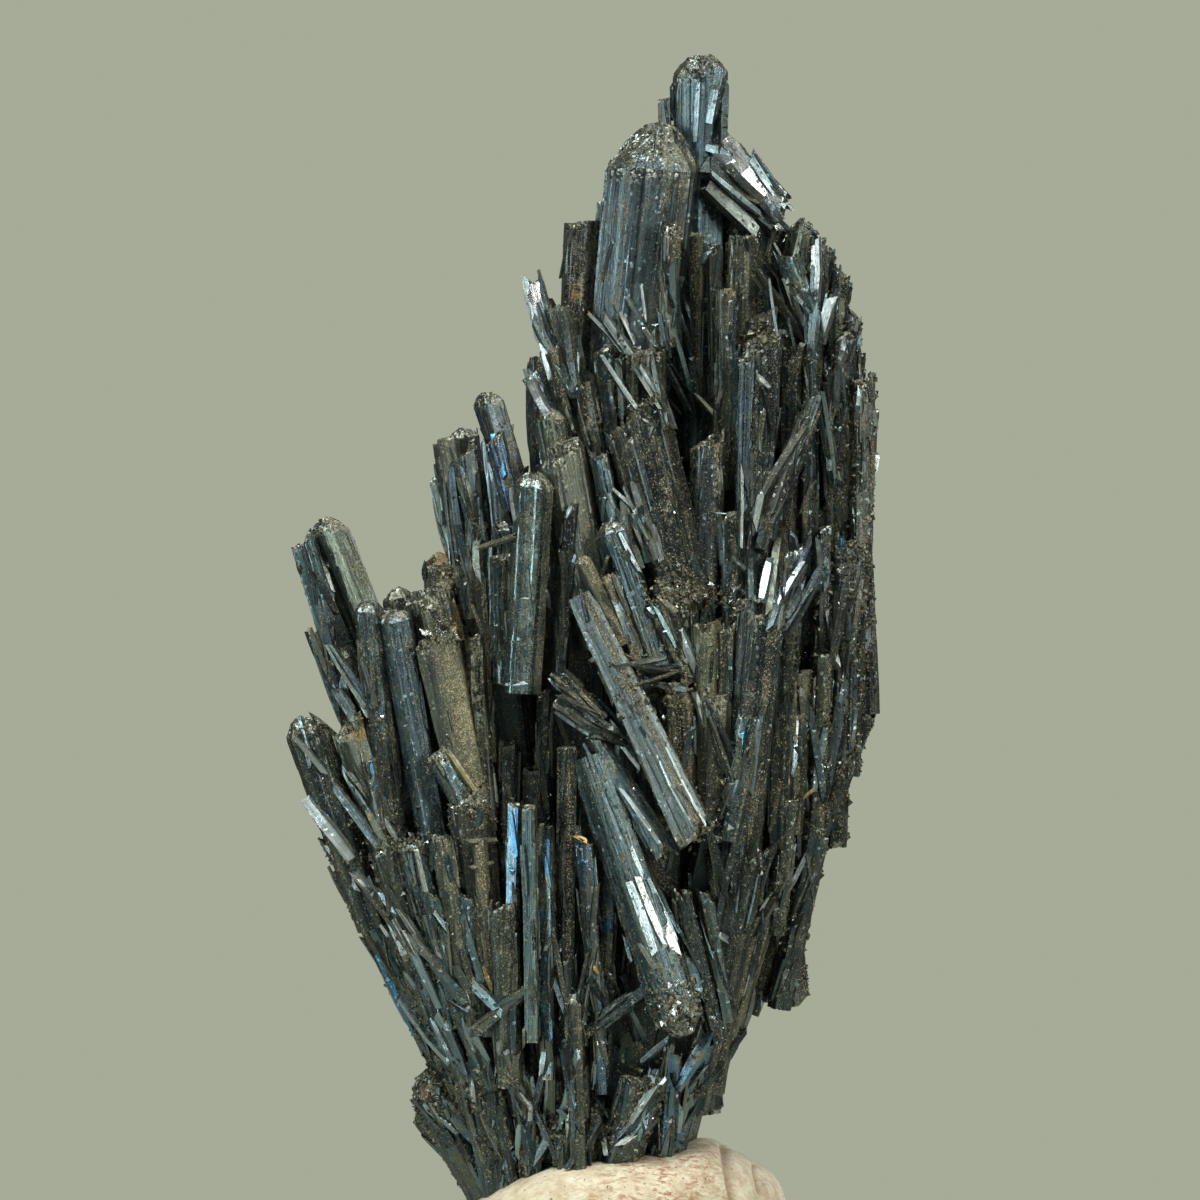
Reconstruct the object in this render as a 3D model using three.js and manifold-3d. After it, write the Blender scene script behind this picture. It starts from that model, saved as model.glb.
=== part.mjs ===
// Stibnite specimen: a spray of grey metallic crystals, grown together at its foot, held upright in a lump of putty.
// Millimetres, +Z up. The viewer looks along +Y, so the front of the spray has negative y. The origin is the middle of
// the putty's flat underside.

import * as THREE from "three";
import { ConvexGeometry } from "three/addons/geometries/ConvexGeometry.js";
import { mergeVertices } from "three/addons/utils/BufferGeometryUtils.js";
import Module from "manifold-3d";

const wasm = await Module();
wasm.setup();

// Driving sizes of the putty, and of the sockets that the crystals' foot leaves in it
const PUTTY_HALF_WIDTH = 12.2;
const PUTTY_HALF_DEPTH = 12;
const PUTTY_HEIGHT = 10;
const BELLY_HEIGHT = 3.4;
const BALL_DEPTH = 8;
const SIDE_STEEPNESS = 0.6;
const TOP_ROUNDNESS = 0.5;
const LOBE = 0.035;
const SLOPE_START = 2;
const LEFT_SLOPE = 0.021;
const FOLD = { x: 6.8, wide: 2.2, high: 0.9 };
const SOCKET_GAP = 0.3;
const SOCKET_REACH = 11.5;

// Slivers thinner than this, left where two faces nearly lie in one plane, are merged
const SLIVER = 0.03;

// Driving values of a crystal's form
const ROOT_TAPER = 0.82;
const LATH_WIDTH = 1.25;
const PRISM_SECTION = [[0.5, 0.08], [0.25, 0.5], [-0.3, 0.46], [-0.5, -0.08], [-0.27, -0.5], [0.29, -0.47]];
const LATH_SECTION = [[0.5, 0.2], [-0.24, 0.5], [-0.5, -0.2], [0.24, -0.5]];

// Each end is a few rings, given as [distance back from the tip, size], both as shares of the crystal's width. An end
// with one ring is a slanted cut: the rise is how far one side of it stands above the other, as a share of the width,
// and the cut is higher on the right when it is positive.
const FLAT = { rings: [[0, 1]], rise: 0.14 };
const RIGHT = { rings: [[0, 1]], rise: 0.5 };
const LEFT = { rings: [[0, 1]], rise: -0.5 };
const DOME = { rings: [[0.36, 1], [0, 0.6]], rise: 0 };
const PEAK = { rings: [[0.7, 1], [0, 0.2]], rise: 0 };

// A crystal is a row of: tip, root, width, thickness, turn about its own axis in degrees, end, and its root's taper
// where that isn't the usual one.
const summit = [
  [[6.4, 1.2, 86.8], [6.0, 1.0, 58], 4.1, 4.4, 25, DOME],
  [[3.8, 1.6, 83.6], [4.2, 1.2, 70], 1.1, 1.6, 10, FLAT],
  [[3.4, -0.8, 81.8], [-0.4, 0.8, 45], 7.4, 6.2, 12, DOME],
  [[-0.3, -0.5, 76.3], [-1.3, 0.5, 60], 1.0, 1.6, 0, FLAT],
  [[-1.9, 0.2, 75.0], [-2.8, 0.8, 58], 2.7, 3.2, -15, FLAT],
  [[4.3, -4.4, 74.5], [4.0, -3.4, 66], 1.7, 1.5, 20, FLAT],
  [[6.0, -3.6, 74.0], [6.2, -0.4, 62], 1.1, 1.2, 0, FLAT],
  [[7.3, -3.4, 73.2], [7.4, -0.8, 62], 1.2, 1.2, 30, RIGHT],
  [[9.3, -3.0, 73.9], [8.8, -2.0, 58], 2.5, 2.4, -10, FLAT],
  [[8.1, -4.6, 70.2], [8.0, -3.4, 56], 1.7, 1.7, 15, FLAT],
  [[10.4, -3.0, 68.9], [10.2, -2.2, 58], 2.7, 2.2, 0, RIGHT],
  [[10.5, -5.6, 67.3], [9.9, -4.8, 53], 3.5, 3.2, 18, RIGHT],
  [[10.3, -4.9, 57.9], [9.4, -4.6, 44], 3.4, 3.0, 18, FLAT],
  [[12.8, -2.4, 66.2], [12.2, -2.0, 48], 1.9, 2.2, -10, FLAT],
];

const upperRight = [
  [[12.5, -1.7, 75.1], [7.7, -0.7, 80.1], 2.4, 1.3, 20, RIGHT, 0.95],
  [[9.3, 0.6, 77.6], [8.2, 0.6, 56], 2.6, 3.2, 10, LEFT],
  [[11.2, 0.8, 75.4], [9.6, 0.6, 56], 2.4, 3.0, -10, LEFT],
  [[13.6, 0.2, 74.9], [10.8, 0.6, 56], 2.3, 3.0, 10, DOME],
  [[15.2, 0.4, 73.4], [12.4, 0.4, 54], 1.5, 2.4, 0, LEFT],
  [[16.3, 0.6, 71.8], [13.4, 0.6, 52], 1.9, 2.8, 0, LEFT],
  [[16.9, 1.0, 68.4], [14.8, 0.8, 48], 1.7, 3.0, 10, DOME],
  [[12.0, -1.6, 72.9], [14.3, -1.8, 67.0], 2.0, 1.4, -20, LEFT],
  [[14.6, -1.6, 73.6], [14.0, -1.2, 64], 1.0, 1.0, 0, RIGHT],
  [[15.5, -2.4, 69.3], [14.8, -2.2, 66.2], 1.0, 0.9, 10, FLAT],
  [[16.1, -1.6, 67.2], [15.4, -1.4, 60], 1.4, 1.8, 20, RIGHT],
  [[17.2, 1.4, 66.0], [15.8, 1.2, 50], 1.7, 2.4, 0, DOME],
  [[17.6, -0.8, 64.2], [17.5, -0.8, 52.3], 2.1, 2.6, 10, FLAT, 0.9],
  [[15.8, -1.8, 64.6], [15.7, -1.6, 48], 1.8, 2.4, -10, FLAT],
  [[18.1, 1.8, 62.6], [16.8, 1.6, 42], 1.8, 3.2, 0, LEFT],
  [[14.1, -2.4, 65.8], [13.7, -2.2, 50], 1.4, 1.8, 0, FLAT],
  [[14.5, -4.2, 62.9], [10.9, -5.8, 52.6], 1.4, 1.6, 0, RIGHT],
  [[13.5, -4.8, 61.2], [10.4, -6.2, 51.8], 1.2, 1.6, 20, FLAT],
];

const middleLeft = [
  [[-5.5, -1.6, 70.6], [-2.0, -0.8, 58], 1.7, 1.4, 15, FLAT],
  [[-5.7, -2.4, 64.1], [-3.6, -2.4, 60.5], 1.4, 1.3, 20, FLAT],
  [[-3.6, -2.2, 69.0], [-0.9, -2.2, 58], 1.7, 2.0, -15, FLAT],
  [[-4.2, -3.0, 66.2], [-2.0, -3.0, 57], 1.4, 1.6, 0, RIGHT],
  [[-4.3, -3.4, 61.9], [-2.6, -3.2, 52], 2.7, 2.6, 10, DOME],
  [[-0.4, -4.4, 66.4], [0.0, -3.6, 59], 1.5, 2.0, 0, RIGHT],
  [[0.6, -4.6, 65.3], [0.8, -3.8, 59], 0.9, 1.6, 0, FLAT],
  [[2.4, -4.4, 66.2], [2.2, -3.4, 57], 3.4, 2.8, 8, FLAT],
  [[1.4, -6.0, 62.5], [5.3, -6.2, 48], 5.0, 3.8, -8, RIGHT],
  [[1.7, -7.4, 55.0], [2.7, -6.8, 51], 1.4, 1.6, 0, FLAT],
  [[6.9, -5.4, 60.5], [6.4, -5.2, 45], 2.8, 2.6, 10, RIGHT],
  [[8.4, -6.2, 54.6], [8.6, -6.0, 46.5], 1.9, 2.0, -10, FLAT],
  [[-1.8, -4.6, 63.6], [-0.3, -4.6, 55], 1.4, 1.8, 0, FLAT],
  [[-0.8, -6.2, 58.5], [0.9, -6.0, 50], 1.5, 1.8, 10, FLAT],
  [[-3.7, -5.6, 59.5], [-0.9, -5.2, 45], 4.1, 3.6, 14, FLAT],
  [[-5.2, -7.2, 57.4], [-6.1, -7.0, 41.8], 2.9, 2.8, -12, DOME, 0.9],
  [[-7.5, -6.0, 51.6], [-7.4, -5.6, 42.5], 2.0, 2.2, 10, FLAT],
  [[-2.7, -6.8, 55.3], [-3.5, -6.4, 42], 1.3, 1.8, 0, RIGHT],
  [[-0.2, -7.4, 53.9], [3.4, -7.0, 43.4], 2.7, 2.6, 10, DOME],
  [[3.0, -7.8, 48.5], [5.5, -7.4, 42.5], 1.5, 1.6, 0, FLAT],
  [[-0.4, -8.4, 50.2], [2.1, -7.8, 43.4], 1.6, 1.8, 10, DOME],
  [[4.3, -7.2, 50.3], [4.9, -6.6, 43], 3.2, 2.8, 0, DOME],
];

const left = [
  [[-11.5, -2.6, 59.8], [-9.7, -2.6, 47], 2.0, 2.4, 0, FLAT],
  [[-10.3, -3.4, 59.5], [-8.7, -3.4, 48], 1.9, 2.2, 20, RIGHT],
  [[-10.4, -0.8, 60.5], [-8.0, -0.6, 44], 2.4, 2.8, -10, DOME],
  [[-12.2, -1.2, 57.0], [-10.2, -1.2, 48], 1.1, 1.8, 0, DOME],
  [[-8.8, -1.8, 63.0], [-5.0, -2.0, 51], 2.5, 2.6, 18, DOME],
  [[-8.2, -3.3, 60.1], [-6.7, -3.4, 54.5], 1.7, 1.6, 10, RIGHT],
  [[-7.6, -4.6, 53.9], [-7.2, -4.4, 45], 1.6, 1.8, 10, DOME],
  [[-21.7, -3.0, 53.1], [-18.7, -2.8, 43.4], 1.9, 1.9, -25, RIGHT, 0.95],
  [[-20.1, -1.6, 54.1], [-13.6, -1.2, 38], 3.4, 2.8, 20, DOME],
  [[-19.2, -2.8, 45.0], [-15.4, -2.4, 31], 2.4, 2.4, 10, FLAT],
  [[-16.8, -5.0, 48.5], [-15.0, -4.4, 30], 2.3, 2.6, -15, DOME],
  [[-15.2, -5.2, 47.9], [-12.0, -4.4, 30], 2.7, 2.8, 12, DOME],
  [[-12.8, -3.6, 49.5], [-9.4, -3.2, 32], 3.8, 3.4, 8, FLAT],
  [[-12.2, -2.0, 51.7], [-10.9, -1.8, 42], 2.5, 2.4, 15, DOME],
  [[-15.0, -2.2, 49.3], [-13.2, -2.0, 38], 2.3, 2.2, 0, DOME],
  [[-12.2, -6.0, 46.0], [-9.1, -5.0, 32], 3.4, 3.0, 14, FLAT],
  [[-9.5, -5.4, 46.2], [-8.5, -5.0, 34], 1.4, 2.0, 0, RIGHT],
  [[-9.1, -4.0, 50.4], [-8.2, -3.8, 37], 1.3, 2.0, 0, LEFT],
  [[-20.7, -1.4, 46.1], [-17.2, -1.2, 36.5], 1.0, 1.4, 0, FLAT],
  [[-21.5, -5.0, 40.4], [-16.3, -4.2, 25.5], 3.3, 3.0, -15, DOME],
  [[-18.5, -5.2, 40.4], [-14.2, -4.6, 26], 2.7, 2.6, 15, RIGHT],
  [[-16.7, -6.0, 37.4], [-15.4, -5.4, 28], 1.3, 1.6, 0, FLAT],
  [[-17.8, -6.0, 30.1], [-20.9, -5.2, 34.4], 1.2, 1.1, 25, FLAT, 0.95],
  [[-19.7, -4.2, 32.1], [-13.8, -3.6, 21], 1.7, 1.8, 10, LEFT],
  [[-18.6, -2.4, 29.8], [-11.6, -2.0, 15.5], 2.2, 2.8, 0, LEFT],
  [[-17.2, -4.0, 28.8], [-12.8, -3.6, 19], 1.6, 1.7, 20, FLAT],
  [[-16.1, -1.8, 25.4], [-9.8, -1.6, 12.5], 1.8, 2.6, 10, FLAT],
];

const lowerFront = [
  [[-15.9, -6.4, 31.6], [-12.2, -5.4, 19], 2.2, 2.2, -10, DOME],
  [[-14.0, -6.6, 31.9], [-10.8, -5.8, 18.5], 2.3, 2.2, 15, DOME],
  [[-11.9, -7.8, 32.4], [-9.3, -6.8, 18], 1.7, 1.7, 10, LEFT],
  [[-12.1, -7.2, 38.0], [-9.7, -6.4, 33], 2.0, 2.0, 15, FLAT],
  [[-9.8, -6.6, 35.3], [-8.5, -5.8, 21], 3.4, 2.8, 0, DOME],
  [[-12.9, -7.3, 29.0], [-10.6, -6.4, 20], 2.3, 1.8, 0, LEFT],
  [[-10.1, -7.7, 28.2], [-8.4, -7.0, 18], 1.4, 1.4, 10, LEFT],
  [[-9.2, -8.2, 31.8], [-8.4, -7.2, 20], 1.4, 1.4, 0, RIGHT],
  [[-7.4, -8.5, 27.8], [-7.0, -7.6, 14.5], 2.3, 1.8, 8, RIGHT],
  [[-6.6, -8.6, 34.4], [-6.9, -8.0, 24], 1.0, 1.4, 0, FLAT],
  [[-5.6, -9.4, 34.2], [-5.4, -8.8, 17.6], 1.2, 1.4, 10, FLAT, 0.95],
  [[-4.5, -8.8, 32.4], [-4.2, -8.2, 15], 1.2, 1.5, 0, FLAT],
  [[-2.9, -7.8, 38.3], [-3.1, -7.4, 19], 1.7, 1.8, 10, FLAT],
  [[-2.6, -9.6, 21.4], [-2.1, -8.4, 8], 1.5, 1.6, 10, PEAK],
  [[-1.8, -9.0, 32.0], [-0.6, -8.2, 14], 1.3, 1.5, 10, LEFT],
  [[0.1, -8.0, 30.4], [-0.3, -7.4, 16], 1.0, 1.4, 0, FLAT],
  [[-9.4, -8.6, 18.4], [-5.4, -8.6, 21.6], 0.9, 1.0, 0, FLAT, 0.95],
  [[2.8, -9.2, 21.4], [-1.8, -8.8, 18.1], 1.0, 1.0, 0, FLAT, 0.95],
  [[-7.1, -4.0, 38.7], [-7.0, -3.8, 24], 1.7, 2.0, 0, FLAT],
  [[-5.4, -4.6, 36.8], [-5.4, -4.2, 24], 1.5, 1.8, 10, FLAT],
  [[-4.5, -4.4, 42.4], [-4.6, -4.2, 26], 1.3, 1.6, 0, RIGHT],
];

// The two big crystals that lie across the front, and the small ones beside them
const acrossFront = [
  [[6.2, -10.4, 31.4], [-2.1, -8.8, 48.6], 3.4, 3.0, 25, FLAT, 0.62],
  [[-2.1, -9.2, 51.4], [0.9, -8.6, 45.2], 1.3, 1.4, 0, DOME],
  [[5.2, -9.6, 17.9], [-1.4, -8.0, 37.4], 3.8, 3.4, -20, DOME, 0.8],
  [[4.0, -9.6, 30.3], [-1.7, -8.2, 40], 1.8, 1.8, 15, FLAT, 0.6],
  [[-3.7, -9.0, 43.2], [-0.4, -9.0, 40], 1.3, 1.4, 0, LEFT],
  [[-3.9, -9.0, 41.4], [0.2, -9.2, 38.8], 1.2, 1.3, 30, FLAT],
];

const lowerRight = [
  [[12.6, -4.0, 52.4], [12.2, -4.2, 43], 2.3, 2.6, 10, RIGHT],
  [[14.9, -2.8, 53.6], [14.8, -2.4, 41], 1.5, 1.8, 10, FLAT],
  [[16.6, -2.2, 52.7], [16.2, -2.0, 36], 3.4, 3.2, 12, FLAT],
  [[17.4, 0.2, 51.9], [18.0, 0.2, 40.3], 2.0, 3.4, 0, FLAT, 0.95],
  [[6.6, -7.6, 46.9], [6.7, -7.0, 38], 2.2, 2.2, 0, FLAT],
  [[8.1, -7.2, 46.8], [7.9, -6.6, 36], 1.7, 2.2, 0, FLAT],
  [[7.2, -8.0, 41.9], [6.9, -7.2, 32], 2.5, 2.4, 12, FLAT],
  [[4.6, -8.0, 42.7], [5.0, -7.4, 34], 2.9, 2.6, 0, DOME],
  [[10.7, -7.4, 48.8], [8.8, -6.6, 28], 3.8, 3.6, 14, FLAT],
  [[12.1, -6.2, 46.4], [11.7, -5.8, 31], 2.0, 2.6, -10, FLAT],
  [[10.2, -8.4, 41.5], [8.0, -8.0, 31.6], 2.3, 1.8, 12, RIGHT],
  [[13.4, -5.0, 43.5], [12.9, -4.6, 32], 1.3, 1.8, 0, FLAT],
  [[14.8, -3.4, 44.7], [14.2, -3.2, 30], 1.8, 2.2, 10, FLAT],
  [[17.5, -0.2, 40.9], [9.4, -0.4, 19.5], 2.8, 4.0, 10, FLAT],
  [[16.3, -2.6, 38.4], [10.0, -2.2, 20.5], 2.6, 2.8, -12, RIGHT],
  [[15.8, -0.6, 30.8], [16.1, -0.6, 37], 1.6, 2.4, 0, FLAT],
  [[14.5, -3.8, 32.9], [11.8, -3.2, 19.8], 2.2, 2.4, 10, LEFT],
  [[12.3, -5.6, 34.7], [11.5, -5.0, 25], 1.9, 2.2, 20, FLAT],
  [[9.8, -7.0, 31.5], [6.0, -5.2, 13], 3.1, 3.0, -10, DOME],
  [[11.3, -5.0, 28.2], [8.2, -4.2, 17.5], 1.9, 2.2, 0, RIGHT],
  [[12.7, -2.0, 19.7], [12.1, -1.6, 27.5], 2.9, 3.2, 15, DOME],
  [[10.4, -5.4, 26.6], [7.2, -4.2, 14], 1.4, 1.8, 10, FLAT],
  [[8.7, -6.0, 26.9], [7.0, -5.0, 14], 2.6, 2.6, 10, FLAT],
  [[6.6, -8.0, 28.4], [8.2, -6.8, 19], 1.5, 1.6, 0, LEFT],
  [[4.6, -8.0, 28.8], [7.5, -7.2, 17.5], 2.0, 2.0, 10, LEFT],
];

const foot = [
  [[-14.4, -6.2, 25.4], [-9.2, -4.8, 12], 1.5, 1.5, 10, LEFT],
  [[-10.8, -6.8, 20.5], [-7.4, -5.6, 12.5], 1.5, 1.5, 0, LEFT],
  [[-13.6, -4.8, 22.4], [-9.0, -4.0, 11], 2.2, 2.2, -10, FLAT],
  [[-15.6, -3.2, 23.8], [-9.8, -2.8, 12], 1.5, 1.8, 0, FLAT],
  [[-15.9, -5.6, 28.6], [-11.2, -4.6, 16], 1.4, 1.5, 20, LEFT],
  [[-12.9, -2.4, 15.9], [-7.4, -1.4, 5.2], 4.6, 4.8, 20, DOME],
  [[-13.4, -0.8, 13.0], [-7.4, -0.4, 6.0], 2.2, 3.0, 0, DOME],
  [[-9.4, -5.2, 15.9], [-7.8, -3.8, 5.4], 2.1, 2.2, 0, DOME],
  [[-8.0, -6.0, 14.6], [-6.6, -4.4, 5], 1.6, 1.7, 10, LEFT],
  [[-6.0, -6.8, 15.4], [-5.2, -5.0, 5], 1.9, 2.0, 0, RIGHT],
  [[-3.9, -7.2, 15.6], [-3.2, -5.4, 5], 1.4, 1.5, 0, LEFT],
  [[-3.2, -7.8, 11.6], [-2.6, -6.0, 5], 1.9, 1.8, 10, FLAT],
  [[2.6, -8.4, 15.7], [-0.8, -5.6, 5], 3.7, 3.6, 10, FLAT],
  [[-0.9, -7.4, 13.8], [-1.2, -5.6, 5], 1.6, 1.6, 0, PEAK],
  [[4.4, -7.8, 17.3], [3.4, -5.6, 5], 1.6, 1.6, 10, LEFT],
  [[6.9, -6.8, 18.5], [3.6, -4.8, 6.5], 1.7, 1.6, 0, RIGHT],
  [[6.9, -3.0, 12.2], [7.0, -3.2, 19], 2.1, 2.4, 10, FLAT],
  [[7.6, -4.2, 19.0], [2.6, -3.2, 7], 2.4, 2.6, 0, FLAT],
];

// Thick crystals inside the spray, which the others grow from
const heart = [
  [[2.0, 0.8, 69], [0, 0.4, 4.6], 6.6, 7, 0, FLAT],
  [[10.4, 1.0, 66], [1.2, 0.4, 4.8], 7.6, 7.6, 0, FLAT],
  [[14.6, 1.4, 56], [2.6, 0.4, 5.4], 5.4, 7, 0, FLAT],
  [[-2.4, 0.4, 56], [-2, 0, 4.8], 6.4, 7.4, 0, FLAT],
  [[-8.2, 0.2, 48], [-3.8, 0, 5], 4.8, 6.6, 0, FLAT],
  [[-13.4, 0.4, 42], [-5.4, 0, 5.4], 4.6, 6, 0, FLAT],
  [[-16.6, 0, 34], [-6.8, 0, 6], 3.8, 5.6, 0, FLAT],
  [[11.8, -0.6, 44], [2, -0.4, 5.4], 6.4, 7.4, 0, FLAT],
  [[5.2, -3.8, 49], [0.4, -1.8, 5], 6.4, 6, 0, FLAT],
  [[-4.8, -4.4, 31], [-2.8, -2.2, 5], 6.2, 6.0, 0, FLAT],
  [[-10.6, -3.2, 31], [-5.2, -1.6, 5.4], 4.8, 5.6, 0, FLAT],
  [[8.6, -3.8, 35], [1.8, -1.8, 5.4], 5.6, 5.4, 0, FLAT],
];

// The back of the spray: the tip of each crystal and its width. They fan out from the foot.
const backTips = [
  [[-19.2, 2.2, 48.5], 2.6], [[-16.8, 4.6, 41.0], 3.2], [[-19.8, 1.6, 37.4], 2.8], [[-14.4, 5.4, 46.6], 3.0],
  [[-12.0, 3.0, 50.0], 2.4], [[-10.6, 4.6, 57.2], 3.0], [[-8.0, 3.2, 60.4], 2.6], [[-7.2, 7.2, 52.0], 3.4],
  [[-4.8, 3.0, 65.6], 2.4], [[-3.6, 6.4, 60.4], 3.6], [[-1.8, 3.8, 72.0], 2.6], [[0.8, 6.6, 69.6], 3.6],
  [[2.6, 3.6, 78.4], 3.4], [[5.4, 4.8, 80.4], 3.6], [[7.8, 4.2, 75.0], 3.0], [[6.8, 8.4, 68.4], 4.0],
  [[10.4, 4.6, 73.6], 3.4], [[12.8, 5.0, 71.4], 2.8], [[11.2, 8.6, 62.6], 4.2], [[15.2, 4.4, 68.6], 2.8],
  [[16.6, 5.2, 62.0], 3.0], [[14.8, 8.4, 55.0], 3.8], [[17.2, 4.4, 53.6], 2.8], [[17.0, 4.8, 45.6], 3.0],
  [[15.4, 7.6, 43.4], 3.4], [[16.2, 3.2, 38.6], 2.6], [[13.6, 5.2, 32.4], 3.0], [[-15.6, 4.0, 31.0], 3.0],
  [[-11.4, 8.0, 40.4], 3.6], [[-6.6, 10.0, 44.2], 3.8], [[-1.4, 10.2, 52.0], 4.0], [[4.4, 10.8, 58.2], 4.2],
  [[9.6, 11.2, 49.6], 4.4], [[2.0, 11.8, 43.0], 4.4], [[12.2, 9.2, 38.2], 3.8], [[-12.2, 6.4, 27.0], 3.2],
  [[-4.4, 11.0, 33.2], 4.0], [[6.8, 11.0, 35.6], 4.2], [[0.8, 10.0, 25.8], 4.0], [[-8.2, 8.2, 22.2], 3.6],
  [[7.6, 8.0, 23.6], 3.2], [[-3.0, 7.8, 16.4], 3.4], [[3.4, 6.6, 16.6], 3.0],
];
const BACK_ROOT = { x: -1.5, spread: 0.22, depth: 0.32, z: 4.8, lift: 0.1 };
const BACK_THICKNESS = 0.9;
const BACK_TURNS = [14, -22, 38, -8, 27];
const BACK_ENDS = [FLAT, LEFT, DOME, RIGHT];

function backCrystal([tip, wide], index) {
  const [x, y, z] = tip;
  const root = [
    BACK_ROOT.x + BACK_ROOT.spread * x,
    BACK_ROOT.depth * y,
    BACK_ROOT.z + BACK_ROOT.lift * z,
  ];
  const turn = BACK_TURNS[index % BACK_TURNS.length];
  const end = BACK_ENDS[index % BACK_ENDS.length];
  return [tip, root, wide, BACK_THICKNESS * wide, turn, end];
}

const crystals = [
  ...heart,
  ...backTips.map(backCrystal),
  ...summit,
  ...upperRight,
  ...middleLeft,
  ...left,
  ...lowerFront,
  ...acrossFront,
  ...lowerRight,
  ...foot,
];

// One crystal as a convex prism with its own end, made larger all round by margin. A slanted cut keeps each of the
// prism's sides flat, because its points slide along the tapering sides.
function crystalGeometry([tipAt, rootAt, width, thickness, turn, end, taper = ROOT_TAPER], margin = 0) {
  const root = new THREE.Vector3(...rootAt);
  const tip = new THREE.Vector3(...tipAt);
  const along = tip.clone().sub(root).normalize();
  root.addScaledVector(along, -margin);
  const length = tip.distanceTo(root) + margin;
  const across = new THREE.Vector3(0, 1, 0).cross(along).normalize();
  const depth = along.clone().cross(across);
  const angle = THREE.MathUtils.degToRad(turn);
  const wide = width + 2 * margin;
  const thick = thickness + 2 * margin;
  const section = width < LATH_WIDTH ? LATH_SECTION : PRISM_SECTION;
  const slope = end.rise;
  const points = [];
  const addPoint = (u, v, distance, size) => {
    const a = size * (u * wide * Math.cos(angle) - v * thick * Math.sin(angle));
    const b = size * (u * wide * Math.sin(angle) + v * thick * Math.cos(angle));
    const at = root.clone().addScaledVector(along, distance);
    points.push(at.addScaledVector(across, a).addScaledVector(depth, b));
  };
  for (const [u, v] of section) {
    addPoint(u, v, 0, taper);
    for (const [back, size] of end.rings) {
      const shoulder = length - back * wide - 0.5 * Math.abs(slope) * wide;
      const gain = (1 - taper) / length;
      const distance = (shoulder + slope * wide * u * taper) / (1 - slope * wide * u * gain);
      addPoint(u, v, distance, size === 1 ? taper + gain * distance : size);
    }
  }
  return new ConvexGeometry(points);
}

function toSolid(geometry) {
  geometry.deleteAttribute("normal");
  geometry.deleteAttribute("uv");
  const merged = mergeVertices(geometry, 1e-4);
  const mesh = new wasm.Mesh({
    numProp: 3,
    vertProperties: new Float32Array(merged.attributes.position.array),
    triVerts: new Uint32Array(merged.index.array),
  });
  return new wasm.Manifold(mesh);
}

// The outer body of a joined or cut solid, without crumbs and sealed bubbles
function wholeBody(solid) {
  const pieces = solid.asOriginal().simplify(SLIVER).decompose();
  return pieces.sort((a, b) => b.volume() - a.volume())[0];
}

function toGeometry(solid) {
  const { vertProperties, triVerts } = solid.getMesh();
  const geometry = new THREE.BufferGeometry();
  geometry.setAttribute("position", new THREE.BufferAttribute(new Float32Array(vertProperties), 3));
  geometry.setIndex(new THREE.BufferAttribute(new Uint32Array(triVerts), 1));
  const flat = geometry.toNonIndexed();
  flat.computeVertexNormals();
  return flat;
}

function crystalCluster() {
  const solids = crystals.map((row) => toSolid(crystalGeometry(row)));
  const joined = solids.reduce((sum, solid) => sum.add(solid));
  const material = new THREE.MeshStandardMaterial({ color: 0x39434b, roughness: 0.34, metalness: 0.9 });
  const mesh = new THREE.Mesh(toGeometry(wholeBody(joined)), material);
  mesh.name = "crystal_cluster";
  return mesh;
}

// The putty's top, which falls away to the left and has one low fold on the right
function puttyTop(x) {
  const fall = LEFT_SLOPE * Math.min(0, x - SLOPE_START) ** 2;
  return PUTTY_HEIGHT - fall + FOLD.high * Math.exp(-(((x - FOLD.x) / FOLD.wide) ** 2));
}

// A ball pressed out with steep sides, and a few soft lobes where fingers pushed it
function pressedBall() {
  const ball = new THREE.SphereGeometry(1, 20, 9);
  ball.rotateX(Math.PI / 2);
  const at = ball.attributes.position;
  for (let i = 0; i < at.count; i += 1) {
    const [x, y, z] = [at.getX(i), at.getY(i), at.getZ(i)];
    const around = Math.atan2(y, x);
    const lobe = 1 + LOBE * (Math.sin(3 * around + 0.6) + 0.6 * Math.sin(5 * around));
    const radius = Math.hypot(x, y);
    const outward = radius < 1e-6 ? 0 : lobe * radius ** (SIDE_STEEPNESS - 1);
    const wide = PUTTY_HALF_WIDTH * x * outward;
    const deep = PUTTY_HALF_DEPTH * y * outward;
    const height = Math.abs(z) ** TOP_ROUNDNESS * (z > 0 ? puttyTop(wide) - BELLY_HEIGHT : -BALL_DEPTH);
    at.setXYZ(i, wide, deep, BELLY_HEIGHT + height);
  }
  return toSolid(ball);
}

// The ball cut flat underneath, with a socket for each crystal that reaches down into it
function puttyLump() {
  const side = 4 * PUTTY_HALF_WIDTH;
  const below = new THREE.BoxGeometry(side, side, side).translate(0, 0, -side / 2);
  const nearFoot = crystals.filter(([tip, root]) => Math.min(tip[2], root[2]) < SOCKET_REACH);
  const sockets = nearFoot.map((row) => toSolid(crystalGeometry(row, SOCKET_GAP)));
  const lump = sockets.reduce((rest, socket) => rest.subtract(socket), pressedBall().subtract(toSolid(below)));
  const material = new THREE.MeshStandardMaterial({ color: 0xe2d6bd, roughness: 0.85, metalness: 0 });
  const mesh = new THREE.Mesh(toGeometry(wholeBody(lump)), material);
  mesh.name = "putty_lump";
  return mesh;
}

const specimen = new THREE.Group();
specimen.add(crystalCluster(), puttyLump());

export default specimen;
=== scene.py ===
# Looks of a stibnite specimen: striated metallic crystals with dusty faces and broken tips, held upright
# in a lump of putty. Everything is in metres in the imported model's frame, +Z up, and the viewer looks
# along +Y.

import math
from collections import namedtuple

import bpy
import numpy as np
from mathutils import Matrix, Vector
from mathutils.bvhtree import BVHTree


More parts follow.
